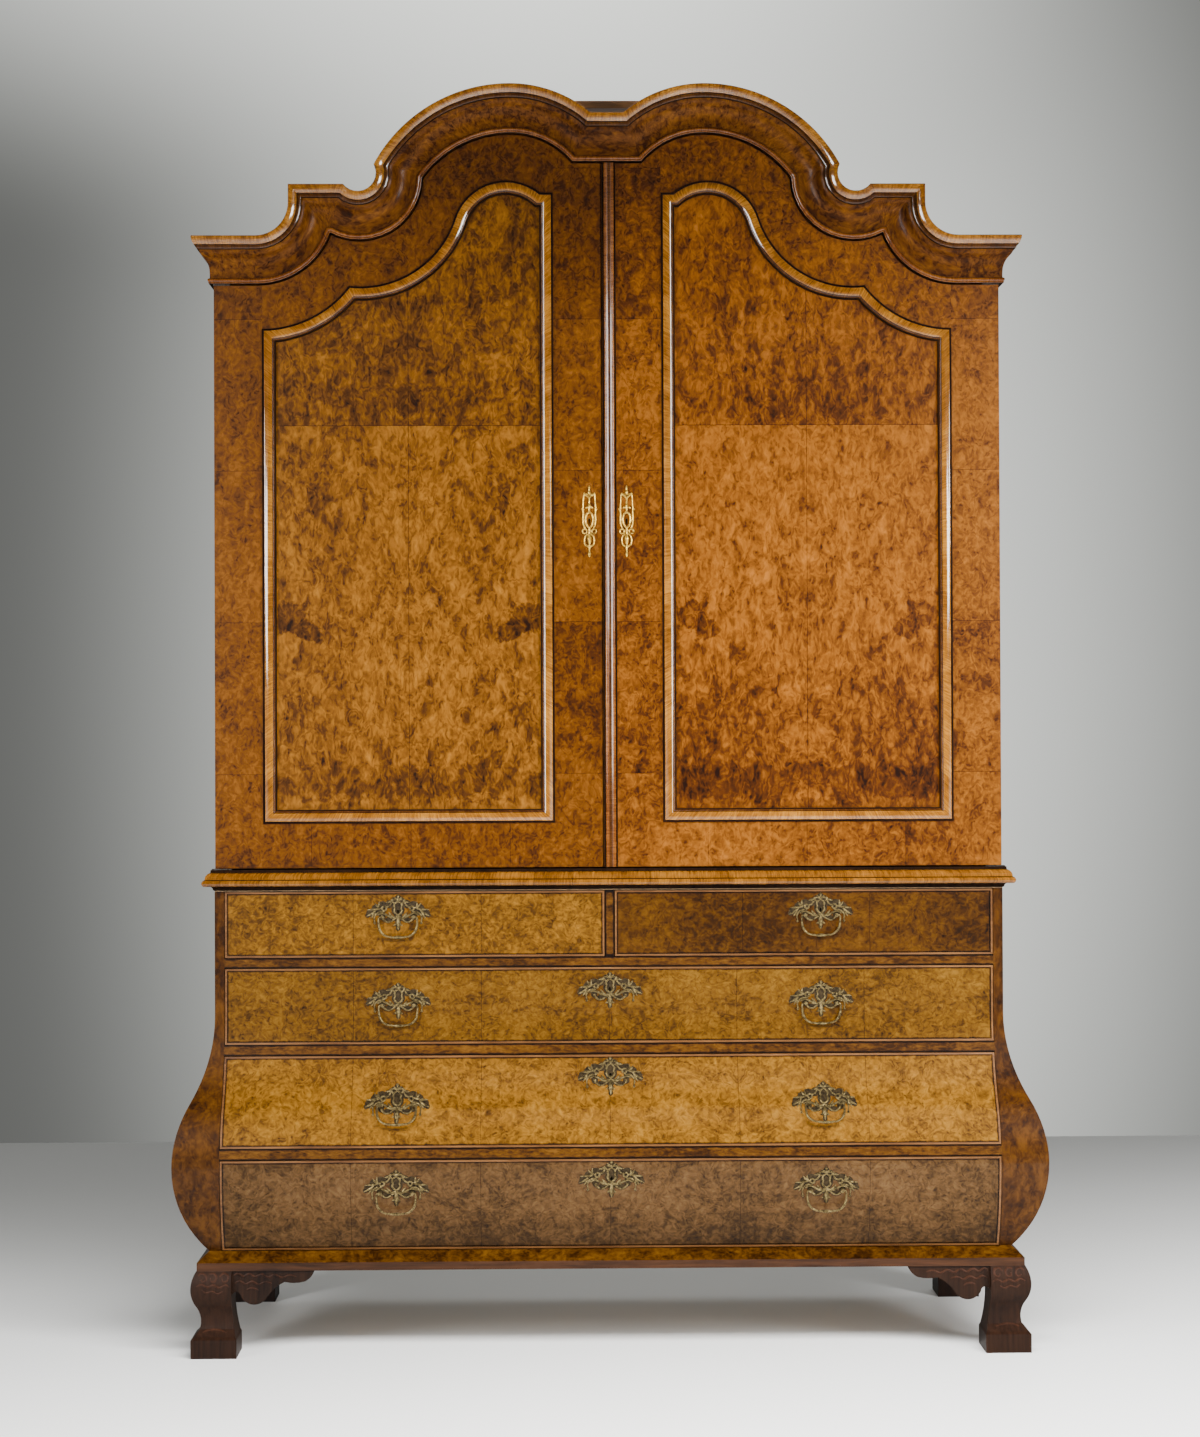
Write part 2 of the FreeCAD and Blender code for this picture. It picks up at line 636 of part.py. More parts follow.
def make_roof():
    count = 4
    y0, y1 = CARCASS_FRONT + HEAD_BOARD, UPPER_DEPTH
    width = (y1 - y0) / count
    return [box(-CASE_INNER, CASE_INNER, y0 + n * width, y0 + (n + 1) * width, WING - ROOF_THICK, WING)
            for n in range(count)]


def make_platform():
    y0 = CARCASS_FRONT + HEAD_BOARD
    y1 = y0 + PLATFORM_DEPTH
    foot = PLATFORM_TOP - PLATFORM_THICK
    outer = PLATFORM_HALF - PLATFORM_END
    upright = box(outer - ROOF_THICK, outer, y0, y1 - PLATFORM_OVERHANG, WING, foot)
    board = box(-PLATFORM_HALF, PLATFORM_HALF, y0, y1, foot, PLATFORM_TOP)
    return [board] + both_sides(upright)


# ------------------------------------------------------------------ upper case
def make_upper_sides():
    side = box(CASE_INNER, CASE_HALF, CARCASS_FRONT, UPPER_DEPTH, UPPER_FOOT, WING)
    return both_sides(side)


def make_upper_floor():
    board = box(-CASE_INNER, CASE_INNER, CARCASS_FRONT, UPPER_DEPTH - BACK_BOARD,
                CUPBOARD_FLOOR - BOARD, CUPBOARD_FLOOR)
    return [board]


def make_back(half, y1, low, high):
    count = 6
    width = 2 * half / count
    return [box(-half + n * width, -half + (n + 1) * width, y1 - BACK_BOARD, y1, low, high)
            for n in range(count)]


SHELF_FRONT = CARCASS_FRONT + HEAD_BOARD + 20.0
SHELF_HEIGHTS = [CUPBOARD_FLOOR + rise for rise in SHELF_RISES]


def make_shelves():
    return [box(-CASE_INNER + 1, CASE_INNER - 1, SHELF_FRONT, UPPER_DEPTH - BACK_BOARD - 1,
                z, z + SHELF_THICK) for z in SHELF_HEIGHTS]


def make_shelf_bearers():
    bearers = []
    for z in SHELF_HEIGHTS:
        bearers += both_sides(box(CASE_INNER - BOARD, CASE_INNER, SHELF_FRONT + 10,
                                  UPPER_DEPTH - BACK_BOARD - 10, z - BOARD, z))
    return bearers


# ------------------------------------------------------------------ doors
def panel_path():
    """The outer edge of the right panel's moulding, clockwise from its inner lower corner."""
    dome = (PANEL_INNER + PANEL_DOME_IN, PANEL_SHOULDER - PANEL_DOME_DROP)
    sweep = (PANEL_OUTER - PANEL_SWEEP_IN, PANEL_SHOULDER + PANEL_SWEEP_RISE)
    cove = (PANEL_OUTER, PANEL_SHOULDER - PANEL_COVE_DROP)
    step = math.sqrt(PANEL_DOME_RADIUS ** 2 - PANEL_DOME_DROP ** 2)
    cusp = (dome[0] - step, PANEL_SHOULDER)
    share = PANEL_DOME_RADIUS / math.dist(dome, sweep)
    join = (dome[0] + share * (sweep[0] - dome[0]), dome[1] + share * (sweep[1] - dome[1]))
    corner = min(circle_meets_circle(sweep, math.dist(sweep, join), cove, PANEL_COVE_RADIUS),
                 key=lambda point: point[1])
    outer_top = (PANEL_OUTER, cove[1] - PANEL_COVE_RADIUS)
    return [
        line((PANEL_INNER, PANEL_FOOT), (PANEL_INNER, PANEL_SHOULDER)),
        line((PANEL_INNER, PANEL_SHOULDER), cusp),
        arc(dome, cusp, join, -1),
        arc(sweep, join, corner, 1),
        arc(cove, corner, outer_top, 1),
        line(outer_top, (PANEL_OUTER, PANEL_FOOT)),
        line((PANEL_OUTER, PANEL_FOOT), (PANEL_INNER, PANEL_FOOT)),
    ]


PANEL = panel_path()


def panel_slab(offset, y0, y1):
    wire = offset_wire(PANEL, offset, lambda point: V(point[0], y0, point[1]))
    return Part.Face(wire).extrude(V(0, y1 - y0, 0))


def keyhole(x, z, y0, y1, width=4.0, height=12.0):
    """A round-ended upright slot through a plate or board."""
    radius = width / 2
    slot = box(x - radius, x + radius, y0, y1, z - height / 2 + radius, z + height / 2 - radius)
    for end in (-1, 1):
        slot = slot.fuse(rod(V(x, y0, z + end * (height / 2 - radius)), V(0, 1, 0), radius, y1 - y0))
    return slot.removeSplitter()


def pivot_hole(x, bottom, top):
    radius = PIVOT_RADIUS + PIVOT_CLEARANCE
    depth = PIVOT_LENGTH + 1.0
    holes = rod(V(x, PIVOT_BACK, bottom - 1), V(0, 0, 1), radius, depth + 1)
    return holes.fuse(rod(V(x, PIVOT_BACK, top + 1), V(0, 0, -1), radius, depth + 1))


def make_door_frame(meeting_edge):
    """Stiles and rails of a door on the right; the left door is its mirror image."""
    whole = under_cornice(BEAD_FOOT + DOOR_GAP, 0.0, DOOR_THICK, meeting_edge, DOOR_OUTER, DOOR_FOOT)
    ring = whole.cut(panel_slab(REBATE, -1.0, DOOR_THICK + 1))
    inner, outer = PANEL_INNER + REBATE, PANEL_OUTER - REBATE
    top = DOME_TOP + 1
    middle = (PANEL_FOOT + PANEL_SHOULDER) / 2
    cells = [box(meeting_edge - 1, inner, -1, DOOR_THICK + 1, 0, top),
             box(outer, DOOR_OUTER + 1, -1, DOOR_THICK + 1, 0, top),
             box(inner, outer, -1, DOOR_THICK + 1, 0, PANEL_FOOT + 2 * REBATE),
             box(inner, outer, -1, DOOR_THICK + 1, middle, top)]
    pieces = [ring.common(cell) for cell in cells]
    pieces[1] = pieces[1].cut(pivot_hole(PIVOT_X, DOOR_FOOT, DOOR_HEAD))
    return pieces


def make_panel():
    return [panel_slab(REBATE + FIT, PANEL_SET_BACK, PANEL_SET_BACK + PANEL_THICK)]


def make_panel_moulding():
    """Rounded moulding that laps the frame outside and the sunk panel inside."""
    wide = MOULDING_WIDTH
    section = [(0.0, 0.0), (0.0, 5.0), (3.0, 5.5), (4.0, 3.5), (8.0, 9.0), (14.0, 11.0), (20.0, 8.0),
               (22.0, 4.0), (wide, 1.0), (wide, -PANEL_SET_BACK), (REBATE + FIT, -PANEL_SET_BACK),
               (REBATE + FIT, 0.0)]
    return [mitred_moulding(PANEL, section, front_place)]


STRIP_LEFT = -10.0
STRIP_RIGHT = 17.0


def make_meeting_strip():
    """Upright moulding on the right door's meeting edge: two beads with a hollow between."""
    wide = STRIP_RIGHT - STRIP_LEFT
    bead = 6.5
    edge = 3.5
    high = 12.0
    points = [(0.0, 0.0), (0.0, 4.0), (edge, 5.0), (edge + 1, high - 3), (edge + bead / 2, high),
              (edge + bead, high - 3), (wide / 2, high - 6), (wide - edge - bead, high - 3),
              (wide - edge - bead / 2, high), (wide - edge - 1, high - 3), (wide - edge, 5.0),
              (wide, 4.0), (wide, 0.0)]
    top = CORNICE_DIP - BEAD_FOOT - DOOR_GAP
    foot = [V(STRIP_LEFT + x, -rise, DOOR_FOOT) for x, rise in points]
    head = [V(point.x, point.y, top) for point in foot]
    return [prism_between(foot, head)]


DOOR_LOCK_FRONT = DOOR_THICK - DOOR_LOCK_DEPTH
DOOR_BOLT_Y = DOOR_LOCK_FRONT + DOOR_LOCK_DEPTH / 2


def door_lock_recess():
    return box(RIGHT_DOOR_EDGE - 1, RIGHT_DOOR_EDGE + DOOR_LOCK_WIDTH + FIT, DOOR_LOCK_FRONT, DOOR_THICK + 1,
               ESCUTCHEON_Z - DOOR_LOCK_HEIGHT / 2 - FIT, ESCUTCHEON_Z + DOOR_LOCK_HEIGHT / 2 + FIT)


def door_bolt_space(play, x0, x1):
    half_thick = DOOR_BOLT_THICK / 2 + play
    half_high = DOOR_BOLT_HEIGHT / 2 + play
    return box(x0, x1, DOOR_BOLT_Y - half_thick, DOOR_BOLT_Y + half_thick,
               ESCUTCHEON_Z - half_high, ESCUTCHEON_Z + half_high)


def make_door_lock():
    case = box(RIGHT_DOOR_EDGE, RIGHT_DOOR_EDGE + DOOR_LOCK_WIDTH, DOOR_LOCK_FRONT, DOOR_THICK,
               ESCUTCHEON_Z - DOOR_LOCK_HEIGHT / 2, ESCUTCHEON_Z + DOOR_LOCK_HEIGHT / 2)
    room = door_bolt_space(BOLT_PLAY, RIGHT_DOOR_EDGE - 1, RIGHT_DOOR_EDGE + DOOR_BOLT_LENGTH + 2)
    return [case.cut(room).cut(keyhole(ESCUTCHEON_X, ESCUTCHEON_Z, DOOR_LOCK_FRONT - 1, DOOR_BOLT_Y))]


def make_door_lock_bolt():
    return [door_bolt_space(0.0, RIGHT_DOOR_EDGE + 0.5, RIGHT_DOOR_EDGE + DOOR_BOLT_LENGTH)]


def make_right_door():
    pieces = make_door_frame(RIGHT_DOOR_EDGE)
    pieces[0] = pieces[0].cut(door_lock_recess()).cut(keyhole(ESCUTCHEON_X, ESCUTCHEON_Z, -1, DOOR_THICK))
    return pieces


def make_left_door():
    pieces = make_door_frame(-LEFT_DOOR_EDGE)
    mortise = door_bolt_space(2 * BOLT_PLAY + 1, -LEFT_DOOR_EDGE - 1, -LEFT_DOOR_EDGE + DOOR_BOLT_TRAVEL + 1)
    pieces[0] = pieces[0].cut(mortise).cut(keyhole(ESCUTCHEON_X, ESCUTCHEON_Z, -1, DOOR_THICK / 2))
    return [mirrored(piece) for piece in pieces]


def make_hinges():
    """Pivot plates on the case above and below each door, each with its pin."""
    plate_in, plate_out = PIVOT_X - PIVOT_PLATE_IN, CASE_HALF + PIVOT_PLATE_OUT
    front, back = PIVOT_BACK - PIVOT_PLATE_HALF, PIVOT_BACK + PIVOT_PLATE_HALF
    low = box(plate_in, plate_out, front, back, WAIST_TOP, WAIST_TOP + PIVOT_PLATE)
    low = low.fuse(rod(V(PIVOT_X, PIVOT_BACK, WAIST_TOP), V(0, 0, 1), PIVOT_RADIUS, DOOR_GAP + PIVOT_LENGTH))
    head = WING - BEAD_FOOT
    high = box(plate_in, CASE_HALF, front, back, head - PIVOT_PLATE, head)
    high = high.fuse(rod(V(PIVOT_X, PIVOT_BACK, head), V(0, 0, -1), PIVOT_RADIUS, DOOR_GAP + PIVOT_LENGTH))
    return both_sides(low) + both_sides(high)


# ------------------------------------------------------------------ lower case
def row_floor(row):
    return BODY_FOOT + sum(ROW_HEIGHTS[:row]) + sum(RAIL_HEIGHTS[:row])


def row_head(row):
    return row_floor(row) + ROW_HEIGHTS[row]


def handle_height(row):
    return row_head(row) - HANDLE_DROPS[row]


def key_height(row):
    return row_head(row) - KEY_DROPS[row]


def make_lower_sides():
    top = UPPER_FOOT - TOP_BOARD
    spot = lambda depth, z: V(CASE_HALF + depth, -FRONT_BELLY - 5, z)
    outer = swell_edges(SIDE_SWELL, BODY_FOOT, top, spot)
    inner = [Part.makeLine(V(DRAWER_OPENING_HALF, -FRONT_BELLY - 5, BODY_FOOT),
                           V(DRAWER_OPENING_HALF, -FRONT_BELLY - 5, top))]
    side = between_edges(outer, inner).extrude(V(0, LOWER_DEPTH + FRONT_BELLY + 5, 0))
    widest = CASE_HALF + SIDE_BELLY + 1
    return both_sides(side.common(front_to_plane(0, widest, BODY_FOOT, top, 0.0, LOWER_DEPTH)))


def make_top_board():
    low = UPPER_FOOT - TOP_BOARD
    board = box(-CASE_HALF, CASE_HALF, 0, LOWER_DEPTH, low, UPPER_FOOT)
    for x in (-HANDLE_X, HANDLE_X):
        board = board.cut(bolt_mortise(x, 3))
    return [board]


def make_bottom_board():
    inner = NECK_HALF - BASE_WIDTH
    front, back = -FRONT_NECK + BASE_WIDTH, LOWER_DEPTH - BASE_WIDTH
    return [box(-inner, inner, front, back, BODY_FOOT - BOARD, BODY_FOOT)]


def rail_back(row):
    return -swell_depth(FRONT_SWELL, row_head(row)) + RAIL_DEPTH


def make_rails():
    """Front rails between the rows, and the upright between the two top drawers."""
    rails = []
    for row in range(3):
        low, high = row_head(row), row_floor(row + 1)
        rail = front_to_plane(-DRAWER_OPENING_HALF, DRAWER_OPENING_HALF, low, high, 0.0, rail_back(row))
        rails.append(rail.cut(bolt_mortise(0.0, row)))
    rails.append(box(-DIVIDER_HALF, DIVIDER_HALF, 0, RAIL_DEPTH, row_floor(3), row_head(3)))
    return rails


def make_runners():
    """Side runners under each row, and the runner and guide in the middle of the top row."""
    runners = []
    for row in range(1, 4):
        top = row_floor(row)
        back = rail_back(row - 1)
        runners += both_sides(box(DRAWER_OPENING_HALF - RUNNER_WIDTH, DRAWER_OPENING_HALF, back, LOWER_BACK,
                                  top - RUNNER_THICK, top))
    top = row_floor(3)
    runners.append(box(-RUNNER_WIDTH, RUNNER_WIDTH, rail_back(2), LOWER_BACK, top - RUNNER_THICK, top))
    runners.append(box(-DIVIDER_HALF, DIVIDER_HALF, RAIL_DEPTH, LOWER_BACK, top, top + 25.0))
    return runners


def case_path(half, front, back):
    """Left side, front and right side of the case in plan; offsets are outwards."""
    return [line((-half, back), (-half, front)), line((-half, front), (half, front)),
            line((half, front), (half, back))]


def make_waist():
    """The moulding between the two cases, and the rail behind its front member."""
    reach = WAIST_REACH
    section = [(0.0, WAIST_FOOT), (3.0, WAIST_FOOT + 1.5), (7.0, WAIST_FOOT + 8.0),
               (reach - 2, WAIST_FOOT + 9.0), (reach, WAIST_FOOT + 12.0), (reach - 1, WAIST_FOOT + 20.0),
               (reach - 4, WAIST_FOOT + 22.0), (reach - 3, WAIST_FOOT + 24.5), (reach - 8, WAIST_TOP - 8.0),
               (reach - 14, WAIST_TOP - 5.0), (7.0, WAIST_TOP - 4.5), (7.0, WAIST_TOP), (0.0, WAIST_TOP)]
    members = mitred_members(case_path(CASE_HALF, 0.0, UPPER_DEPTH), section, plan_place)
    rail = box(-CASE_HALF, CASE_HALF, 0, CARCASS_FRONT, UPPER_FOOT, WAIST_TOP)
    return members + [rail]


def make_base_frame():
    edge = BASE_FOOT + BASE_EDGE
    section = [(-BASE_WIDTH, BASE_FOOT), (BASE_REACH, BASE_FOOT), (BASE_REACH, edge), (0.0, BODY_FOOT),
               (-BASE_WIDTH, BODY_FOOT)]
    path = case_path(NECK_HALF, -FRONT_NECK, LOWER_DEPTH)
    inner = NECK_HALF - BASE_WIDTH
    rear = box(-inner, inner, LOWER_DEPTH - BASE_WIDTH, LOWER_DEPTH, BASE_FOOT, BODY_FOOT)
    return mitred_members(path, section, plan_place) + [rear]


FOOT_DIAGONAL = FOOT_OUTER + FOOT_FRONT      # a foot's front view at x is its side view at this less x


def foot_outline(at):
    """Front view of a foot: square block, waisted ankle and a swelling knee."""
    outer, inner, block, bevel = FOOT_OUTER, FOOT_INNER, FOOT_BLOCK, FOOT_CHAMFER
    knee, ankle = BASE_FOOT - KNEE_DROP, block + ANKLE_RISE
    shin, calf = block + 0.4 * ANKLE_RISE, ankle + CALF_RISE
    back = inner + LEG_BACK
    pts = {"foot": (inner, 0.0), "toe": (outer, 0.0), "edge": (outer, block - bevel),
           "chamfer": (outer - bevel, block), "shin": (outer - 0.9 * ANKLE_IN, shin),
           "ankle": (outer - ANKLE_IN, ankle), "calf": (outer - CALF_IN, calf), "knee": (outer, knee),
           "hip": (outer - HIP_IN, BASE_FOOT), "groin": (back, BASE_FOOT), "back": (back, calf),
           "heel": (inner + LEG_BACK / 2, shin), "instep": (inner + bevel / 2, block),
           "sole": (inner, block - bevel)}
    p = {name: at(point) for name, point in pts.items()}
    return Part.Wire([
        Part.makeLine(p["foot"], p["toe"]), Part.makeLine(p["toe"], p["edge"]),
        Part.makeLine(p["edge"], p["chamfer"]), Part.makeLine(p["chamfer"], p["shin"]),
        Part.Arc(p["shin"], p["ankle"], p["calf"]).toShape(),
        Part.Arc(p["calf"], p["knee"], p["hip"]).toShape(),
        Part.makeLine(p["hip"], p["groin"]), Part.makeLine(p["groin"], p["back"]),
        Part.Arc(p["back"], p["heel"], p["instep"]).toShape(),
        Part.makeLine(p["instep"], p["sole"]), Part.makeLine(p["sole"], p["foot"])])


def make_front_feet():
    front_view = Part.Face(foot_outline(lambda p: V(p[0], FOOT_FRONT - 5, p[1])))
    side_view = Part.Face(foot_outline(lambda p: V(FOOT_INNER - 5, FOOT_DIAGONAL - p[0], p[1])))
    across = front_view.extrude(V(0, FOOT_WIDTH + 10, 0))
    return both_sides(across.common(side_view.extrude(V(FOOT_WIDTH + 10, 0, 0))))


def make_rear_feet():
    front = LOWER_DEPTH - REAR_FOOT_DEPTH
    x0, x1 = REAR_FOOT_INNER, REAR_FOOT_OUTER
    narrow = x1 - REAR_FOOT_TAPER
    points = [(x0, 0.0), (narrow, 0.0), (narrow, FOOT_BLOCK), (x1, BASE_FOOT - KNEE_DROP), (x1, BASE_FOOT),
              (x0, BASE_FOOT)]
    outline = [V(x, front, z) for x, z in points]
    foot = Part.Face(Part.makePolygon(outline + outline[:1])).extrude(V(0, REAR_FOOT_DEPTH, 0))
    return both_sides(foot)


def bracket_outline(at):
    """Scalloped board beside a front foot; distances run away from the foot's inner face."""
    root = at((0.0, BASE_FOOT))
    p = [at((run, BASE_FOOT - drop)) for run, drop in BRACKET_EDGE]
    arcs = [Part.Arc(p[i], p[i + 1], p[i + 2]).toShape() for i in range(0, len(p) - 1, 2)]
    return Part.Wire([Part.makeLine(root, p[0])] + arcs + [Part.makeLine(p[-1], root)])


def make_brackets():
    """Two carved brackets at each front foot: one along the front and one along the side."""
    inner_x = FOOT_INNER + LEG_BACK
    face_y = FOOT_FRONT + BRACKET_SET_BACK
    along_front = Part.Face(bracket_outline(lambda p: V(inner_x - p[0], face_y, p[1])))
    front = along_front.extrude(V(0, BRACKET_THICK, 0))
    inner_y = FOOT_DIAGONAL - inner_x
    face_x = FOOT_OUTER - BRACKET_SET_BACK - BRACKET_THICK
    along_side = Part.Face(bracket_outline(lambda p: V(face_x, inner_y + p[0], p[1])))
    side = along_side.extrude(V(BRACKET_THICK, 0, 0))
    return both_sides(front) + both_sides(side)


# ------------------------------------------------------------------ plates, posts and bails
# Lobes of the cast plates as (x, z, radius), right half and middle
HANDLE_LOBES = ((0, 6, 13), (0, 17, 11), (0, 30, 5.5), (7, 26, 5), (17, 17, 8), (30, 14, 9), (43, 8, 9),
                (55, 0, 7.5), (60, -5, 4.5), (33, 1, 7), (POST_X, -POST_DROP, 6.5), (0, -10, 9), (13, -12, 6),
                (21, -14, 4.5), (0, -22, 6), (0, -31, 4.5))
DOOR_LOBES = ((0, 7, 16), (0, -7, 16), (0, 24, 10), (0, -25, 10), (8, 34, 6.5), (7, -34, 6),
              (0, 41, 10), (0, -42, 10), (0, 54, 6.5), (0, -54, 7), (0, 64.5, 5.5), (0, -65, 5))


def lobed_plate(x, z, lobes, y0, y1):
    discs = []
    for across, up, radius in lobes:
        for side in ((1, -1) if across else (1,)):
            discs.append(rod(V(x + side * across, y0, z + up), V(0, 1, 0), radius, y1 - y0))
    return discs[0].multiFuse(discs[1:]).removeSplitter()


def front_plate(x, z):
    """A cast plate bent to the drawer front that it lies on."""
    half = max(across + radius for across, _, radius in HANDLE_LOBES) + 1
    reach = max(abs(up) + radius for _, up, radius in HANDLE_LOBES) + 1
    lobed = lobed_plate(x, z, HANDLE_LOBES, -FRONT_BELLY - 20, 5)
    slab = front_slab(x - half, x + half, z - reach, z + reach, PLATE_THICK, 0.0)
    return lobed.common(slab)


def front_frame(z):
    """Surface point depth, outward direction and upward direction of the front at a height."""
    slope = swell_slope(FRONT_SWELL, z)
    out = V(0, -1, -slope)
    out.normalize()
    up = V(0, -slope, 1)
    up.normalize()
    return V(0, -swell_depth(FRONT_SWELL, z), z), out, up


def bail_pivot(x, row):
    z = handle_height(row) - POST_DROP
    surface, out, _ = front_frame(z)
    return V(x, 0, 0) + surface + out * PIVOT_STAND


def make_posts(x, row):
    z = handle_height(row) - POST_DROP
    surface, out, _ = front_frame(z)
    posts = []
    for side in (-1, 1):
        seat = V(x + side * POST_X, 0, 0) + surface
        post = rod(seat + out * PLATE_THICK, out, POST_RADIUS, POST_LENGTH - PLATE_THICK)
        post = post.fuse(rod(seat - out * (SPIGOT_DEPTH - 1), out, POST_SPIGOT, SPIGOT_DEPTH + PLATE_THICK))
        hole = rod(seat + out * PIVOT_STAND - V(POST_RADIUS + 1, 0, 0), V(1, 0, 0),
                   BAIL_RADIUS + BAIL_CLEARANCE, 2 * POST_RADIUS + 2)
        posts.append(post.cut(hole))
    return posts


def post_holes(x, row):
    """Blind holes for the posts' spigots."""
    z = handle_height(row) - POST_DROP
    surface, out, _ = front_frame(z)
    radius = POST_SPIGOT + 0.1
    holes = [rod(V(x + side * POST_X, 0, 0) + surface - out * SPIGOT_DEPTH, out, radius, SPIGOT_DEPTH + 8)
             for side in (-1, 1)]
    return holes[0].fuse(holes[1])


def make_bail(x, row):
    """A drop bail, hanging from its two posts; on the third row it lies along the sloping front."""
    pivot = bail_pivot(x, row)
    slope = swell_slope(FRONT_SWELL, handle_height(row))
    down = V(0, 0, -1)
    if slope < -0.2:
        down = V(0, slope, -1)
        down.normalize()
    at = lambda across, drop: pivot + V(across, 0, 0) + down * drop
    bend = BAIL_END_BEND
    corner = BAIL_CORNER
    half = BAIL_HALF
    tip = POST_X - POST_RADIUS - 1.0
    diagonal = 1 - math.sqrt(0.5)
    right = [
        Part.makeLine(at(0, BAIL_DROP), at(half - corner, BAIL_DROP)),
        Part.Arc(at(half - corner, BAIL_DROP), at(half - corner * diagonal, BAIL_DROP - corner * diagonal),
                 at(half, BAIL_DROP - corner)).toShape(),
        Part.makeLine(at(half, BAIL_DROP - corner), at(half, bend)),
        Part.Arc(at(half, bend), at(half - bend * diagonal, bend * diagonal), at(half - bend, 0)).toShape(),
        Part.makeLine(at(half - bend, 0), at(tip, 0)),
    ]
    path = Part.Wire(right)
    section = Part.Wire(Part.makeCircle(BAIL_RADIUS, at(0, BAIL_DROP), V(1, 0, 0)))
    arm = path.makePipeShell([section], True, False)
    other = arm.mirror(V(x, 0, 0), V(1, 0, 0))
    return [arm.fuse(other).removeSplitter()]


# ------------------------------------------------------------------ drawers
def drawer_span(side):
    """Left and right edge of a drawer's front; side is 0 for a full-width drawer."""
    if side == 0:
        return -ROW_HALF, ROW_HALF
    inner = DIVIDER_HALF + DRAWER_GAP
    return (inner, ROW_HALF) if side > 0 else (-ROW_HALF, -inner)


def front_levels(row):
    return row_floor(row) + DRAWER_GAP, row_head(row) - DRAWER_GAP


def lock_y(row):
    """Middle of a drawer lock's bolt, behind the top of the front."""
    _, high = front_levels(row)
    return -swell_depth(FRONT_SWELL, high) + FRONT_THICK + LOCK_DEPTH / 2


def bolt_box(x, row, play, low, high):
    y = lock_y(row)
    return box(x - BOLT_WIDTH / 2 - play, x + BOLT_WIDTH / 2 + play, y - BOLT_THICK / 2 - play,
               y + BOLT_THICK / 2 + play, low, high)


def bolt_mortise(x, row):
    return bolt_box(x, row, 1.0, row_head(row) - 1, row_head(row) + BOLT_TRAVEL + 1)


def key_spot(side):
    return side * HANDLE_X


def handle_spots(side):
    return [-HANDLE_X, HANDLE_X] if side == 0 else [side * HANDLE_X]


def make_drawer_front(row, side):
    x0, x1 = drawer_span(side)
    low, high = front_levels(row)
    bead = COCKBEAD
    field = front_slab(x0 + bead, x1 - bead, low + bead, high - bead, 0.0, FRONT_THICK)
    for x in handle_spots(side):
        field = field.cut(post_holes(x, row))
    field = field.cut(keyhole(key_spot(side), key_height(row), -FRONT_BELLY - 5, FRONT_THICK + 5))
    beads = [front_slab(x0, x0 + bead, low, high, COCKBEAD_PROUD, FRONT_THICK),
             front_slab(x1 - bead, x1, low, high, COCKBEAD_PROUD, FRONT_THICK),
             front_slab(x0 + bead, x1 - bead, low, low + bead, COCKBEAD_PROUD, FRONT_THICK),
             front_slab(x0 + bead, x1 - bead, high - bead, high, COCKBEAD_PROUD, FRONT_THICK)]
    return [field] + beads


def box_span(side):
    x0, x1 = drawer_span(side)
    gap = DRAWER_SIDE_GAP - DRAWER_GAP
    return x0 + gap, x1 - gap


def make_drawer_box(row, side):
    x0, x1 = box_span(side)
    low, high = front_levels(row)
    floor = row_floor(row)
    top = high - DRAWER_HEAD_ROOM
    back = LOWER_BACK - DRAWER_REAR_GAP
    strip_front = -swell_depth(FRONT_SWELL, low) + FRONT_THICK
    pieces = []
    for left, right in ((x0, x0 + DRAWER_SIDE), (x1 - DRAWER_SIDE, x1)):
        edges = swell_edges(FRONT_SWELL, low, top, lambda depth, z: V(left, -depth + FRONT_THICK, z))
        rear = [Part.makeLine(V(left, back, low), V(left, back, top))]
        pieces.append(between_edges(edges, rear).extrude(V(right - left, 0, 0)))
        pieces.append(box(left, right, strip_front, back, floor + FIT, low))
    under = low + 4.0
    inner0, inner1 = x0 + DRAWER_SIDE, x1 - DRAWER_SIDE
    edges = swell_edges(FRONT_SWELL, under, under + DRAWER_BOTTOM,
                        lambda depth, z: V(inner0, -depth + FRONT_THICK, z))
    rear = [Part.makeLine(V(inner0, back, under), V(inner0, back, under + DRAWER_BOTTOM))]
    pieces.append(between_edges(edges, rear).extrude(V(inner1 - inner0, 0, 0)))
    pieces.append(box(inner0, inner1, back - DRAWER_SIDE, back, under + DRAWER_BOTTOM, top))
    return pieces


def make_fittings(row, side):
    """Plates, posts and the lock case of one drawer."""
    key = key_spot(side)
    hole = keyhole(key, key_height(row), -FRONT_BELLY - 20, FRONT_THICK)
    pieces = []
    for x in handle_spots(side):
        plate = front_plate(x, handle_height(row)).cut(post_shanks(x, row))
        pieces += [plate.cut(hole) if x == key else plate] + make_posts(x, row)
    if side == 0:
        pieces.append(front_plate(key, key_height(row)).cut(hole))
    return pieces + [lock_case(key, row)]


def post_shanks(x, row):
    z = handle_height(row) - POST_DROP
    surface, out, _ = front_frame(z)
    radius = POST_SPIGOT + 0.1
    shanks = [rod(V(x + side * POST_X, 0, 0) + surface - out * 3, out, radius, 12) for side in (-1, 1)]
    tops = [rod(V(x + side * POST_X, 0, 0) + surface + out * PLATE_THICK, out, POST_RADIUS + 0.2, 12)
            for side in (-1, 1)]
    return shanks[0].multiFuse([shanks[1]] + tops)


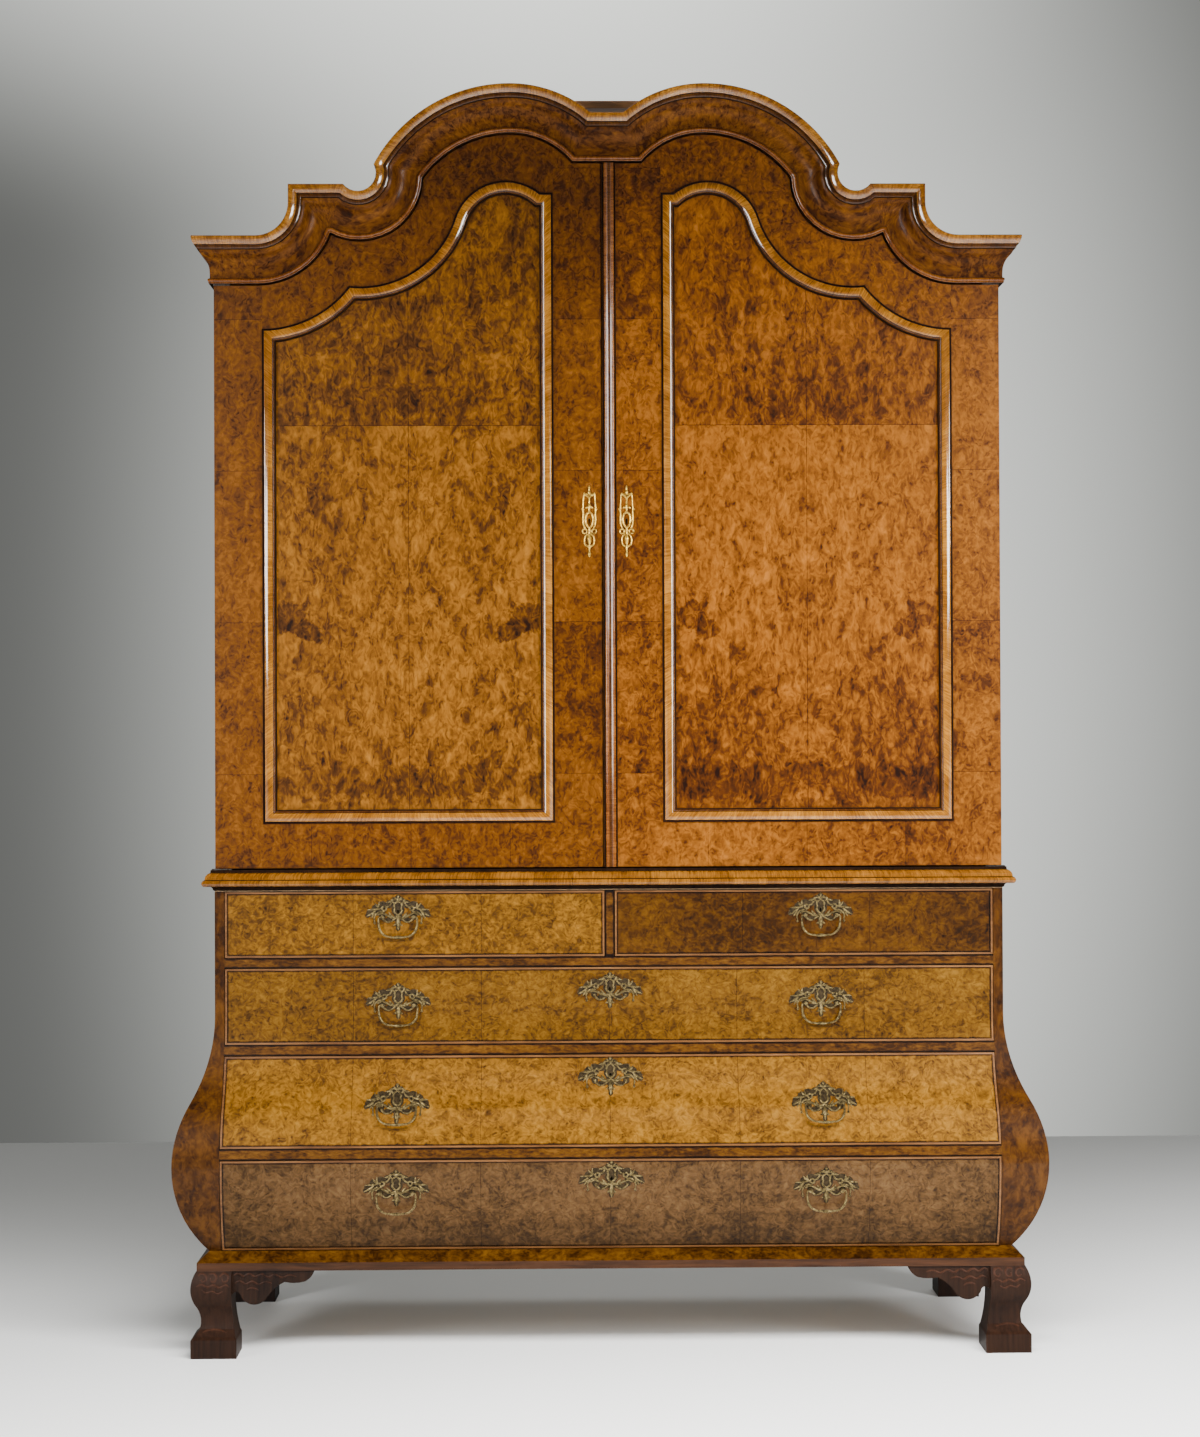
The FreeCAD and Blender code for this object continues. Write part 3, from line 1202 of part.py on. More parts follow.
def lock_case(x, row):
    _, high = front_levels(row)
    back = lock_y(row) + LOCK_DEPTH / 2
    low = high - LOCK_HEIGHT
    left = x - LOCK_WIDTH / 2
    edges = swell_edges(FRONT_SWELL, low, high, lambda depth, z: V(left, -depth + FRONT_THICK, z))
    rear = [Part.makeLine(V(left, back, low), V(left, back, high))]
    case = between_edges(edges, rear).extrude(V(LOCK_WIDTH, 0, 0))
    room = bolt_box(x, row, BOLT_PLAY, high - BOLT_HEIGHT - 1.0, high + 1)
    return case.cut(room).cut(keyhole(x, key_height(row), -FRONT_BELLY, lock_y(row)))


def make_lock_bolt(x, row):
    _, high = front_levels(row)
    return [bolt_box(x, row, 0.0, high - BOLT_HEIGHT - 0.5, high - 0.5)]


# ------------------------------------------------------------------ the whole piece
LONG_DRAWERS = ("bottom_drawer", "third_drawer", "second_drawer")


def all_drawers():
    """Name, row and side of each drawer; side is 0 for full width, -1 for left and 1 for right."""
    top = len(LONG_DRAWERS)
    long = [(name, row, 0) for row, name in enumerate(LONG_DRAWERS)]
    return long + [("top_left_drawer", top, -1), ("top_right_drawer", top, 1)]


DRAWERS = all_drawers()


def all_nodes():
    nodes = {
        "upper_sides": make_upper_sides(),
        "upper_floor_board": make_upper_floor(),
        "upper_back": make_back(CASE_INNER, UPPER_DEPTH, UPPER_FOOT, WING - ROOF_THICK),
        "shelves": make_shelves(),
        "shelf_bearers": make_shelf_bearers(),
        "cornice_board": make_cornice_board() + make_head_board(),
        "cornice_moulding": make_cornice_moulding(),
        "roof_boards": make_roof(),
        "cornice_platform": make_platform(),
        "door_pivots": make_hinges(),
        "lower_sides": make_lower_sides(),
        "lower_top_board": make_top_board(),
        "lower_bottom_board": make_bottom_board(),
        "lower_back": make_back(DRAWER_OPENING_HALF, LOWER_DEPTH, BODY_FOOT, UPPER_FOOT - TOP_BOARD),
        "drawer_rails": make_rails(),
        "drawer_runners": make_runners(),
        "waist_moulding": make_waist(),
        "base_frame": make_base_frame(),
        "front_feet": make_front_feet(),
        "rear_feet": make_rear_feet(),
        "foot_brackets": make_brackets(),
        "left_door_frame": make_left_door(),
        "left_door_panel": [mirrored(piece) for piece in make_panel()],
        "left_door_moulding": [mirrored(piece) for piece in make_panel_moulding()],
        "right_door_frame": make_right_door(),
        "right_door_panel": make_panel(),
        "right_door_moulding": make_panel_moulding(),
        "meeting_strip": make_meeting_strip(),
        "door_lock": make_door_lock(),
        "door_lock_bolt": make_door_lock_bolt(),
    }
    for name, x in (("left_door_escutcheon", -ESCUTCHEON_X), ("right_door_escutcheon", ESCUTCHEON_X)):
        plate = lobed_plate(x, ESCUTCHEON_Z, DOOR_LOBES, -PLATE_THICK, 0.0)
        nodes[name] = [plate.cut(keyhole(x, ESCUTCHEON_Z, -10, 10))]
    for name, row, side in DRAWERS:
        nodes[name + "_front"] = make_drawer_front(row, side)
        nodes[name + "_box"] = make_drawer_box(row, side)
        nodes[name + "_fittings"] = make_fittings(row, side)
        nodes[name + "_lock_bolt"] = make_lock_bolt(key_spot(side), row)
        for x in handle_spots(side):
            label = "_bail" if side else ("_left_bail" if x < 0 else "_right_bail")
            nodes[name + label] = make_bail(x, row)
    return nodes


def whole_middle(nodes):
    """The middle of the whole piece in plan, which becomes the origin."""
    bounds = Part.makeCompound([solid for solids in nodes.values() for solid in solids]).BoundBox
    return V(bounds.Center.x, bounds.Center.y, 0)


def main():
    os.makedirs("parts", exist_ok=True)
    nodes = all_nodes()
    middle = whole_middle(nodes)
    print("origin moved by", middle)
    for name, solids in nodes.items():
        shape = Part.makeCompound(solids)
        shape.translate(middle * -1)
        shape.exportStep("parts/" + name + ".step")
    return nodes


NODES = main()
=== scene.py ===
"""Looks of the bombe kas: veneers, mouldings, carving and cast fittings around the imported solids."""

import bmesh
import bpy
import cmath
import math
from functools import lru_cache
from mathutils import Matrix, Vector, geometry
from mathutils.bvhtree import BVHTree


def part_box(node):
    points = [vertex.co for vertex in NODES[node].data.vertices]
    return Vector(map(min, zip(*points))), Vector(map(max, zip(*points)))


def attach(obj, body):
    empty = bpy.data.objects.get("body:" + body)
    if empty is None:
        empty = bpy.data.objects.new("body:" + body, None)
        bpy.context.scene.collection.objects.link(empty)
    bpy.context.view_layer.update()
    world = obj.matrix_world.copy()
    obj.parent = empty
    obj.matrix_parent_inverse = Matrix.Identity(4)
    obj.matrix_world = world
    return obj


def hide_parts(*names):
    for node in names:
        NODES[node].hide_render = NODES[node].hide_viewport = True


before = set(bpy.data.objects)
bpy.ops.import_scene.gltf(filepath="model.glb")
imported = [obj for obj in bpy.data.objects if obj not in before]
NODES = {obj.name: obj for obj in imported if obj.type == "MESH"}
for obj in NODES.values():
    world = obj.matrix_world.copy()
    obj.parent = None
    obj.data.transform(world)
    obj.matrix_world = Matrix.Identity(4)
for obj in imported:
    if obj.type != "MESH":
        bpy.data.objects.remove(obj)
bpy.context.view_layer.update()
MM = 0.001
SEAM = 1 * MM  # reach of the dark line at a joint


# ---- places taken from the frame
@lru_cache
def low(node):
    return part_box(node)[0]


@lru_cache
def high(node):
    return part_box(node)[1]


def middle_of(node):
    return (low(node) + high(node)) / 2


DOOR_FACE = low("left_door_frame").y  # foremost plane of the doors, -Y is the front
DOOR_FOOT = low("left_door_frame").z
CASE_HALF = high("upper_sides").x
UPPER_BACK = high("upper_sides").y
WING = high("upper_sides").z  # flat ends of the cornice
DOME_TOP = high("cornice_moulding").z
BODY_FOOT = low("lower_sides").z
PANEL_MOULDING = "right_door_moulding"  # the node; its box gives the moulding's outer edges
PANEL_MIDDLE = middle_of(PANEL_MOULDING).x

# The swell of the front, as in the solids
FRONT_BELLY = 90 * MM
FRONT_NECK = 50 * MM
BELLY_HEIGHT = BODY_FOOT + 166.5 * MM
SWELL_TOP = BELLY_HEIGHT + 286 * MM
HOLLOW_SHARE = 0.58


def front_depth(z):
    """How far the swollen front stands before the door face at a height."""
    if z >= SWELL_TOP:
        return 0
    height = SWELL_TOP - BELLY_HEIGHT
    radii = (height ** 2 + FRONT_BELLY ** 2) / (2 * FRONT_BELLY)
    hollow, round_part = radii * HOLLOW_SHARE, radii * (1 - HOLLOW_SHARE)
    if z >= BELLY_HEIGHT + round_part * height / radii:
        return hollow - math.sqrt(hollow ** 2 - (SWELL_TOP - z) ** 2)
    drop, inset = BELLY_HEIGHT - BODY_FOOT, FRONT_BELLY - FRONT_NECK
    radius = round_part if z >= BELLY_HEIGHT else (inset ** 2 + drop ** 2) / (2 * inset)
    return FRONT_BELLY - radius + math.sqrt(radius ** 2 - (z - BELLY_HEIGHT) ** 2)


def front_normal(z):
    slope = (front_depth(z + MM) - front_depth(z - MM)) / (2 * MM)
    return Vector((0, -1, -slope)).normalized()


def on_front(x, z, rise=0):
    """A point of the lower case's front, lifted off it by rise."""
    return Vector((x, DOOR_FACE - front_depth(z), z)) + front_normal(z) * rise


# ---- shader helpers
class Nodes:
    """A node tree, with short ways to add and join its nodes."""

    def __init__(self, tree):
        self.tree = tree

    def add(self, kind, inputs=(), **settings):
        node = self.tree.nodes.new("ShaderNode" + kind)
        for key, value in settings.items():
            setattr(node, key, value)
        for key, value in dict(inputs).items():
            self.feed(node.inputs[key], value)
        return node

    def feed(self, socket, value):
        if isinstance(value, bpy.types.NodeSocket):
            self.tree.links.new(value, socket)
        else:
            socket.default_value = value

    def math(self, operation, first, second=0, third=0):
        return self.add("Math", {0: first, 1: second, 2: third}, operation=operation).outputs[0]

    def times(self, first, second):
        return self.math("MULTIPLY", first, second)

    def minus(self, first, second):
        return self.math("SUBTRACT", first, second)

    def sum(self, base, *terms):
        """base and share * (value - middle) for each (value, share) or (value, share, middle)."""
        for value, share, *middle in terms:
            if middle:
                value = self.minus(value, *middle)
            base = self.math("MULTIPLY_ADD", value, share, base)
        return base

    def most(self, *values):
        largest = values[0]
        for value in values[1:]:
            largest = self.math("MAXIMUM", largest, value)
        return largest

    def vector(self, operation, first, second=(0, 0, 0), result="Vector"):
        return self.add("VectorMath", {0: first, 1: second}, operation=operation).outputs[result]

    def band(self, value, low_end, high_end, low_out=0, high_out=1, curve="SMOOTHSTEP"):
        """A smooth step from low_out to high_out as value goes from low_end to high_end."""
        ends = {0: value, 1: low_end, 2: high_end, 3: low_out, 4: high_out}
        return self.add("MapRange", ends, interpolation_type=curve).outputs[0]


class Shader(Nodes):
    """A material and its nodes; places are in metres, and scales in cells per metre."""

    def __init__(self, name):
        self.material = bpy.data.materials.new(name)
        self.material.use_nodes = True
        super().__init__(self.material.node_tree)
        self.surface = self.tree.nodes["Principled BSDF"]
        place = self.add("TexCoord")
        self.object = place.outputs["Object"]
        self.uv = place.outputs["UV"]

    def split(self, vector):
        return self.add("SeparateXYZ", {0: vector}).outputs[:]

    def join(self, x, y, z):
        return self.add("CombineXYZ", {0: x, 1: y, 2: z}).outputs[0]

    def noise(self, vector, scale, detail=3, roughness=0.5, result="Fac"):
        inputs = {"Vector": vector, "Scale": scale, "Detail": detail, "Roughness": roughness}
        return self.add("TexNoise", inputs).outputs[result]

    def warp(self, vector, scale, reach, detail=2):
        """The vector pushed about by noise, at most about half of reach each way."""
        push = self.vector("SUBTRACT", self.noise(vector, scale, detail, result="Color"), (0.5, 0.5, 0.5))
        return self.vector("ADD", vector, self.vector("MULTIPLY", push, (reach, reach, reach)))

    def cells(self, vector, scale):
        return self.add("TexVoronoi", {"Vector": vector, "Scale": scale}).outputs["Distance"]

    def chance(self, value):
        """A random number for each whole value."""
        return self.add("TexWhiteNoise", {"W": value}, noise_dimensions="1D").outputs["Value"]

    def line_at(self, value, place, width):
        """1 where value is at place, fading to 0 at width from it."""
        return self.band(self.math("ABSOLUTE", self.minus(value, place)), 0, width, 1, 0)

    def leaf(self, value, size):
        """The number of the leaf at value, in a run of leaves of one size that starts at 0."""
        return self.math("FLOOR", self.math("DIVIDE", value, size))

    def leaf_lines(self, value, size):
        """1 on the joints of such a run."""
        middle = self.minus(self.math("PINGPONG", value, size), size / 2)
        return self.band(self.math("ABSOLUTE", middle), size / 2 - SEAM, size / 2)

    def ramp(self, value, stops):
        node = self.add("ValToRGB", {0: value})
        marks = node.color_ramp.elements
        while len(marks) < len(stops):
            marks.new(0.5)
        for mark, (place, colour) in zip(marks, stops):
            mark.position = place
            mark.color = (*colour, 1)
        return node.outputs[0]

    def finish(self, colour, roughness, bump=None, depth=0, strength=1, **constants):
        self.feed(self.surface.inputs["Base Color"], colour)
        self.feed(self.surface.inputs["Roughness"], roughness)
        for key, value in constants.items():
            self.surface.inputs[key.replace("_", " ")].default_value = value
        if bump is not None:
            node = self.add("Bump", {"Height": bump, "Distance": depth, "Strength": strength})
            self.feed(self.surface.inputs["Normal"], node.outputs[0])
        return self.material


# ---- burr walnut
# Each palette runs from the dark knots to the palest wood
GOLDEN = ((0.006, 0.0016, 0.0004), (0.038, 0.012, 0.0013), (0.094, 0.0335, 0.003), (0.178, 0.072, 0.0085))
RUSSET = ((0.006, 0.0013, 0.0003), (0.04, 0.0103, 0.001), (0.1, 0.0305, 0.0025), (0.187, 0.065, 0.0075))
OLIVE = ((0.011, 0.004, 0.0006), (0.053, 0.0205, 0.0016), (0.118, 0.049, 0.0038), (0.205, 0.098, 0.012))
PLUM = ((0.006, 0.0023, 0.0007), (0.021, 0.0095, 0.0026), (0.046, 0.0215, 0.0062), (0.082, 0.043, 0.015))
SHADED = ((0.003, 0.0008, 0.0002), (0.012, 0.0034, 0.0004), (0.028, 0.009, 0.001), (0.055, 0.02, 0.0025))


def toned(palette, share):
    """The palette made darker to a share of its colours."""
    return tuple(tuple(channel * share for channel in colour) for colour in palette)


class Burr(Shader):
    """A burr veneer under an old wax polish."""

    def figure(self, x, y, z, stretch, patches=1):
        """Crinkled figure, dark at 0 and pale at 1, and its relief; stretch draws it out upwards and patches
        is the strength of its blotches."""
        place = self.vector("MULTIPLY", self.join(x, y, z), (1, 1, 1 / stretch))
        slow = self.warp(place, 9, 0.03)
        curled = self.warp(slow, 48, 0.022, 3)
        crinkle = self.noise(curled, 105, 4, 0.6)
        clouds = self.noise(curled, 40, 3, 0.6)
        contour = self.math("SINE", self.times(self.noise(curled, 34, 2), 44))
        mottle = self.noise(slow, 20, 4, 0.6)
        flame = self.noise(self.vector("MULTIPLY", slow, (1, 1, 0.45)), 75, 2)
        tone = self.noise(place, 4.2)
        cluster = self.band(mottle, 0.42, 0.55, 1, 0)
        eyes = self.band(self.cells(curled, 105), 0.14, 0.36, 1, 0)
        figure = self.sum(0.52, (crinkle, 0.62, 0.5), (clouds, 0.45, 0.5), (contour, 0.055),
                          (flame, 0.42 * patches, 0.5), (mottle, 0.45 * patches, 0.5), (tone, 0.42, 0.5),
                          (self.times(eyes, cluster), -0.13))
        return figure, crinkle

    def smudge(self, x, z, middle, half, edge):
        """A dark patch with a scalloped edge, 1 inside; edge is a noise that breaks its outline."""
        place = self.vector("SUBTRACT", self.join(x, z, 0), (*middle, 0))
        gap = self.vector("LENGTH", self.vector("DIVIDE", place, (*half, 1)), result="Value")
        return self.band(self.sum(gap, (edge, 2.4, 0.5)), 0.8, 1.05, 1, 0)

    def polish(self, figure, relief, palette, roughness=0.32, sheen=1):
        """The figure in a palette's colours."""
        colour = self.ramp(figure, tuple(zip((0.14, 0.36, 0.54, 0.8), palette)))
        rough = self.band(figure, 0.3, 0.7, roughness + 0.07, roughness)
        return self.finish(colour, rough, bump=relief, depth=0.2 * MM, strength=0.3, Coat_IOR=1.5,
                           Specular_IOR_Level=0.06 * sheen, Coat_Weight=0.045 * sheen, Coat_Roughness=0.14)


LEAF_SEAM = WING - 368 * MM  # level joint between the panels' leaves
# Dark patches of the panels as (distance from the middle, height), (half width, half height)
PANEL_SMUDGES = (((0.232, 1.44), (0.036, 0.036)), ((0.2, 1.415), (0.03, 0.022)))
FOOT_SMUDGE = ((0.12, 1.115), (0.19, 0.04))
PALE_HEAD = (1.85, 2.05)  # heights over which the panels turn paler
SHADED_FOOT = (1.15, 1.6)  # heights over which the shade of their foot fades


def panel_veneer(name, palette, side, shift, above_shade, foot_shade):
    """Leaves mirrored about the panel's middle, with a level joint; the shades darken those above it and
    the foot."""
    burr = Burr(name)
    x, _, z = burr.split(burr.object)
    inward = burr.sum(PANEL_MIDDLE, (x, -side))
    across = burr.math("ABSOLUTE", inward)
    above = burr.math("GREATER_THAN", z, LEAF_SEAM)
    depth = burr.sum(shift, (above, 0.15), (burr.math("GREATER_THAN", inward, 0), 0.003))
    figure, crinkle = burr.figure(across, depth, z, 1.6, 0.7)
    edge = burr.noise(burr.warp(burr.join(across, depth, z), 40, 0.02), 26, 4, 0.6)
    knots = burr.most(*[burr.smudge(across, z, *patch, edge) for patch in PANEL_SMUDGES])
    foot = burr.smudge(across, z, *FOOT_SMUDGE, edge)
    seams = burr.most(burr.line_at(inward, 0, SEAM), burr.line_at(z, LEAF_SEAM, SEAM))
    figure = burr.sum(figure, (knots, -0.19), (foot, -0.1), (above, -above_shade),
                      (burr.band(z, *PALE_HEAD), 0.05),
                      (burr.band(z, *SHADED_FOOT, 1, 0), -foot_shade), (seams, -0.26))
    return burr.polish(figure, crinkle, palette)


STILE_LEAF = 300 * MM
FIRST_STILE_LEAF = DOOR_FOOT - 115 * MM
RAIL_LEAF = 196 * MM
SHADED_HEAD = (1.85, 2.3)  # heights over which the frames turn darker: painted shade under the cornice


def frame_veneer(name, palette, side, shift):
    """Stiles and rails in shorter leaves: joints across the stiles and along the lower rail."""
    burr = Burr(name)
    x, _, z = burr.split(burr.object)
    out = burr.times(x, side)
    inner, outer = low(PANEL_MOULDING), high(PANEL_MOULDING)
    meeting_stile = burr.math("LESS_THAN", out, inner.x)
    stile = burr.most(meeting_stile, burr.math("GREATER_THAN", out, outer.x))
    rail = burr.math("LESS_THAN", z, inner.z)
    stile = burr.times(stile, burr.minus(1, rail))
    rise = burr.minus(z, FIRST_STILE_LEAF)
    number = burr.times(stile, burr.leaf(rise, STILE_LEAF))
    figure, crinkle = burr.figure(out, burr.sum(shift, (number, 0.013)), z, 1.2, 0.45)
    joint = burr.times(burr.leaf_lines(rise, STILE_LEAF), stile)
    butt = burr.times(burr.leaf_lines(out, RAIL_LEAF), rail)
    figure = burr.sum(figure, (burr.most(joint, butt), -0.22), (burr.chance(number), 0.06, 0.5),
                      (burr.band(z, *SHADED_HEAD), -0.02), (meeting_stile, -0.03))
    return burr.polish(figure, crinkle, palette)


DRAWER_LEAF = 252.5 * MM
BEAD = 3.5 * MM
DRAWER_DIRT_AND_SHADE = 4.5 * MM  # reach of the dark line inside the cock beads: dirt and painted shade
DRAWER_SHADE = 120 * MM  # reach of the shade at a drawer's foot


def drawer_veneer(name, palette, node, shift, shade):
    """A run of leaves along a drawer, each mirroring the next, with a dark line of dirt and painted shade
    inside its cock beads; shade is how much darker its foot is."""
    burr = Burr(name)
    near, far = low(node), high(node)
    x, _, z = burr.split(burr.object)
    along = burr.minus(x, near.x)
    number = burr.leaf(along, DRAWER_LEAF)
    matched = burr.math("PINGPONG", along, DRAWER_LEAF)
    figure, crinkle = burr.figure(matched, burr.sum(shift, (number, 0.004)), z, 0.9, 0.35)
    rims = [(x, near.x + BEAD), (x, far.x - BEAD), (z, near.z + BEAD), (z, far.z - BEAD)]
    dirt_and_shade = burr.most(*[burr.line_at(*rim, DRAWER_DIRT_AND_SHADE) for rim in rims])
    figure = burr.sum(figure, (burr.leaf_lines(along, DRAWER_LEAF), -0.22),
                      (burr.band(z, near.z, near.z + DRAWER_SHADE, 1, 0), -shade), (dirt_and_shade, -0.4))
    return burr.polish(figure, crinkle, palette, roughness=0.34)


def plain_burr(name, palette, stretch, shift):
    """Burr without joints, in object space."""
    burr = Burr(name)
    x, y, z = burr.split(burr.object)
    figure, crinkle = burr.figure(x, burr.math("ADD", y, shift), z, stretch)
    return burr.polish(figure, crinkle, palette)


# reach of the dark line where the rails meet the drawers: dirt and painted shade
RAIL_DIRT_AND_SHADE = 5.5 * MM


def rail_veneer(name, palette):
    """Burr along the drawer rails, with dirt and painted shade where they meet the drawers."""
    burr = Burr(name)
    x, y, z = burr.split(burr.object)
    figure, crinkle = burr.figure(x, burr.math("ADD", y, 2), z, 0.35)
    fronts = [row + "_drawer_front" for row in DRAWER_LOOKS]
    heights = {round(edge.z, 4) for node in fronts for edge in (low(node), high(node))}
    rims = [burr.line_at(z, height, RAIL_DIRT_AND_SHADE) for height in sorted(heights)]
    short = burr.math("GREATER_THAN", z, low("top_left_drawer_front").z)
    for edge in (high("top_left_drawer_front").x, low("top_right_drawer_front").x):
        rims.append(burr.times(burr.line_at(x, edge, RAIL_DIRT_AND_SHADE), short))
    figure = burr.sum(figure, (burr.most(*rims), -0.75))
    return burr.polish(figure, crinkle, palette, roughness=0.4)


def moulded_burr(name, palette, shift):
    """Burr laid along a moulding: u runs along it and v across."""
    burr = Burr(name)
    u, v, _ = burr.split(burr.uv)
    figure, crinkle = burr.figure(u, v, shift, 1)
    return burr.polish(figure, crinkle, palette, roughness=0.42, sheen=0.5)


# ---- other finishes
def crossbanding(name, dark, brown, pale, coat, piece=75 * MM):
    """Straight-grained walnut laid across a moulding in short pieces: u runs along it, v across."""
    wood = Shader(name)
    u, v, _ = wood.split(wood.uv)
    number = wood.leaf(u, piece)
    place = wood.join(u, wood.times(v, 0.16), wood.times(number, 0.7))
    streaks = wood.noise(wood.warp(place, 30, 0.003), 300, 4, 0.6)
    clouds = wood.noise(wood.join(u, v, 0), 26)
    figure = wood.sum(0.5, (streaks, 0.95, 0.5), (clouds, 0.55, 0.5), (wood.chance(number), 0.16, 0.5),
                      (wood.leaf_lines(u, piece), -0.25))
    colour = wood.ramp(figure, ((0.15, dark), (0.45, brown), (0.78, pale)))
    return wood.finish(colour, 0.2, bump=streaks, depth=0.2 * MM, strength=0.25, Coat_IOR=1.5,
                       Specular_IOR_Level=0.1, Coat_Weight=coat, Coat_Roughness=0.06)


def plain_wood(name, dark, light, roughness=0.5, along="Z", specular=0.2):
    """Straight-grained wood in object space."""
    wood = Shader(name)
    squash = [0.06 if axis == along else 1 for axis in "XYZ"]
    place = wood.vector("MULTIPLY", wood.warp(wood.object, 3, 0.03), squash)
    grain = wood.noise(place, 160, 5, 0.65)
    figure = wood.sum(grain, (wood.noise(wood.object, 5), 0.6, 0.5))
    colour = wood.ramp(figure, ((0.28, dark), (0.7, light)))
    return wood.finish(colour, roughness, bump=grain, depth=0.4 * MM, strength=0.5,
                       Specular_IOR_Level=specular)


def metal(name, bright, dull, roughness, metallic=1):
    """Cast and chased metal, dull in patches of tarnish."""
    shader = Shader(name)
    tarnish = shader.noise(shader.object, 210, 5, 0.65)
    chasing = shader.noise(shader.object, 700, 2)
    colour = shader.ramp(tarnish, ((0.36, dull), (0.58, bright)))
    rough = shader.band(tarnish, 0.3, 0.7, roughness + 0.2, roughness)
    return shader.finish(colour, rough, bump=chasing, depth=0.6 * MM, strength=0.5, Metallic=metallic,
                         Specular_IOR_Level=0.1)


# Each drawer's palette and the shade of its foot
DRAWER_LOOKS = {
    "bottom": (PLUM, 0.13), "third": (toned(OLIVE, 0.84), 0), "second": (toned(OLIVE, 0.58), 0.06),
    "top_left": (toned(OLIVE, 0.8), 0.06), "top_right": (toned(GOLDEN, 0.38), 0.04)}
MATERIALS = {
    "left_door_panel": panel_veneer("burr_left_panel", GOLDEN, -1, 0, 0.115, 0.03),
    "right_door_panel": panel_veneer("burr_right_panel", RUSSET, 1, 0.4, 0.045, 0.07),
    "left_door_frame": frame_veneer("burr_left_frame", toned(RUSSET, 0.62), -1, 0.8),
    "right_door_frame": frame_veneer("burr_right_frame", toned(RUSSET, 0.88), 1, 1.2),
    "cornice": moulded_burr("burr_cornice", toned(RUSSET, 0.62), 1.6),
    "drawer_rails": rail_veneer("burr_rail", toned(GOLDEN, 0.46)),
    "side": plain_burr("burr_side", SHADED, 1.4, 2.5),
    "base_burr": plain_burr("burr_base", toned(GOLDEN, 0.36), 0.6, 3),
    "band": crossbanding("walnut_band", (0.036, 0.01, 0.0007), (0.125, 0.043, 0.003),
                         (0.27, 0.112, 0.012), 0.7),
    "waist": crossbanding("waist_band", (0.02, 0.006, 0.0004), (0.08, 0.027, 0.0016),
                          (0.175, 0.068, 0.006), 0.3),
    # dark crossbanding for the top of the cornice and the hollows of the mouldings; in the hollows its
    # darkness is partly painted shade
    "fillet": crossbanding("brown_fillet", (0.01, 0.003, 0.0007), (0.03, 0.009, 0.0015),
                           (0.07, 0.025, 0.004), 0.2),
    "bead": crossbanding("red_bead", (0.03, 0.007, 0.0012), (0.075, 0.021, 0.003), (0.16, 0.055, 0.009),
                         0.25, piece=110 * MM),
    "cock_bead": plain_wood("cock_bead", (0.04, 0.014, 0.003), (0.12, 0.05, 0.014), 0.35, "X"),
    # near black, in the quirks, gaps and cut ends of the mouldings: grime and painted shade
    "grime": plain_wood("grime", (0.002, 0.001, 0.0006), (0.012, 0.005, 0.002), 0.7, specular=0.02),
    "base": plain_wood("base_walnut", (0.01, 0.0036, 0.0014), (0.036, 0.0135, 0.005), 0.42, "X", 0.1),
    # carved ridges paler than the foot they stand on
    "carving": plain_wood("paler_carving", (0.008, 0.0029, 0.0014), (0.03, 0.0112, 0.0056), 0.45,
                          specular=0.08),
    "foot": plain_wood("dark_walnut", (0.0035, 0.0014, 0.0007), (0.016, 0.0064, 0.003), specular=0.08),
    # far paler than walnut: painted light on a platform that the lamps barely reach
    "platform": plain_wood("platform_walnut_painted_light", (0.3, 0.1, 0.025), (0.7, 0.3, 0.09), 0.45, "X"),
    "oak": plain_wood("oak", (0.11, 0.062, 0.026), (0.26, 0.16, 0.075), 0.6),
    "brass": metal("drawer_brass", (0.15, 0.11, 0.045), (0.022, 0.015, 0.006), 0.3, 0.8),
    "gilt": metal("door_gilt", (0.66, 0.42, 0.075), (0.14, 0.07, 0.01), 0.25),
    # near black brass for the ground of the pierced plates: patina and painted shade where shaded wood shows
    # through
    "patina_and_shade": metal("brass_patina", (0.026, 0.017, 0.007), (0.007, 0.0045, 0.002), 0.5, 0.3),
    "iron": metal("lock_iron", (0.05, 0.045, 0.04), (0.016, 0.014, 0.012), 0.5),
}
for shift, (row, (palette, shade)) in enumerate(DRAWER_LOOKS.items(), 4):
    node = row + "_drawer_front"
    MATERIALS[node] = drawer_veneer("burr_" + row + "_drawer", palette, node, shift, shade)


# ---- finishes of the CAD nodes
# Of the nodes that have no material of their own; the others are iron or bare oak
FINISHES = {"cornice_board": "side", "upper_sides": "side", "lower_sides": "side", "front_feet": "foot",
            "rear_feet": "foot", "foot_brackets": "foot", "cornice_platform": "platform"}


def dress(node, *finishes):
    """Gives a CAD node its finishes, the first of them on all its faces."""
    slots = NODES[node].data.materials
    slots.clear()
    for finish in finishes:
        slots.append(MATERIALS[finish])


def dress_faces(node, picked):
    """Puts a CAD node's second finish on the faces that picked(middle, normal) is true for."""
    for polygon in NODES[node].data.polygons:
        polygon.material_index = int(picked(polygon.center, polygon.normal))


def dress_drawer(node):
    near, far = low(node), high(node)
    dress(node, node, "cock_bead")
    dress_faces(node, lambda place, normal:
                min(place.x - near.x, far.x - place.x, place.z - near.z, far.z - place.z) < BEAD)


def dress_frame():
    for node in NODES:
        bare = "iron" if node.endswith(("lock", "lock_bolt", "pivots")) else "oak"
        dress(node, node if node in MATERIALS else FINISHES.get(node, bare))
    for row in DRAWER_LOOKS:
        dress_drawer(row + "_drawer_front")
    dress("base_frame", "base", "base_burr")  # burr on its sloping moulding
    dress_faces("base_frame", lambda place, normal: 0.2 < normal.z < 0.95)


# ---- meshes
def add_object(name, data):
    thing = bpy.data.objects.new(name, data)
    bpy.context.scene.collection.objects.link(thing)
    return thing


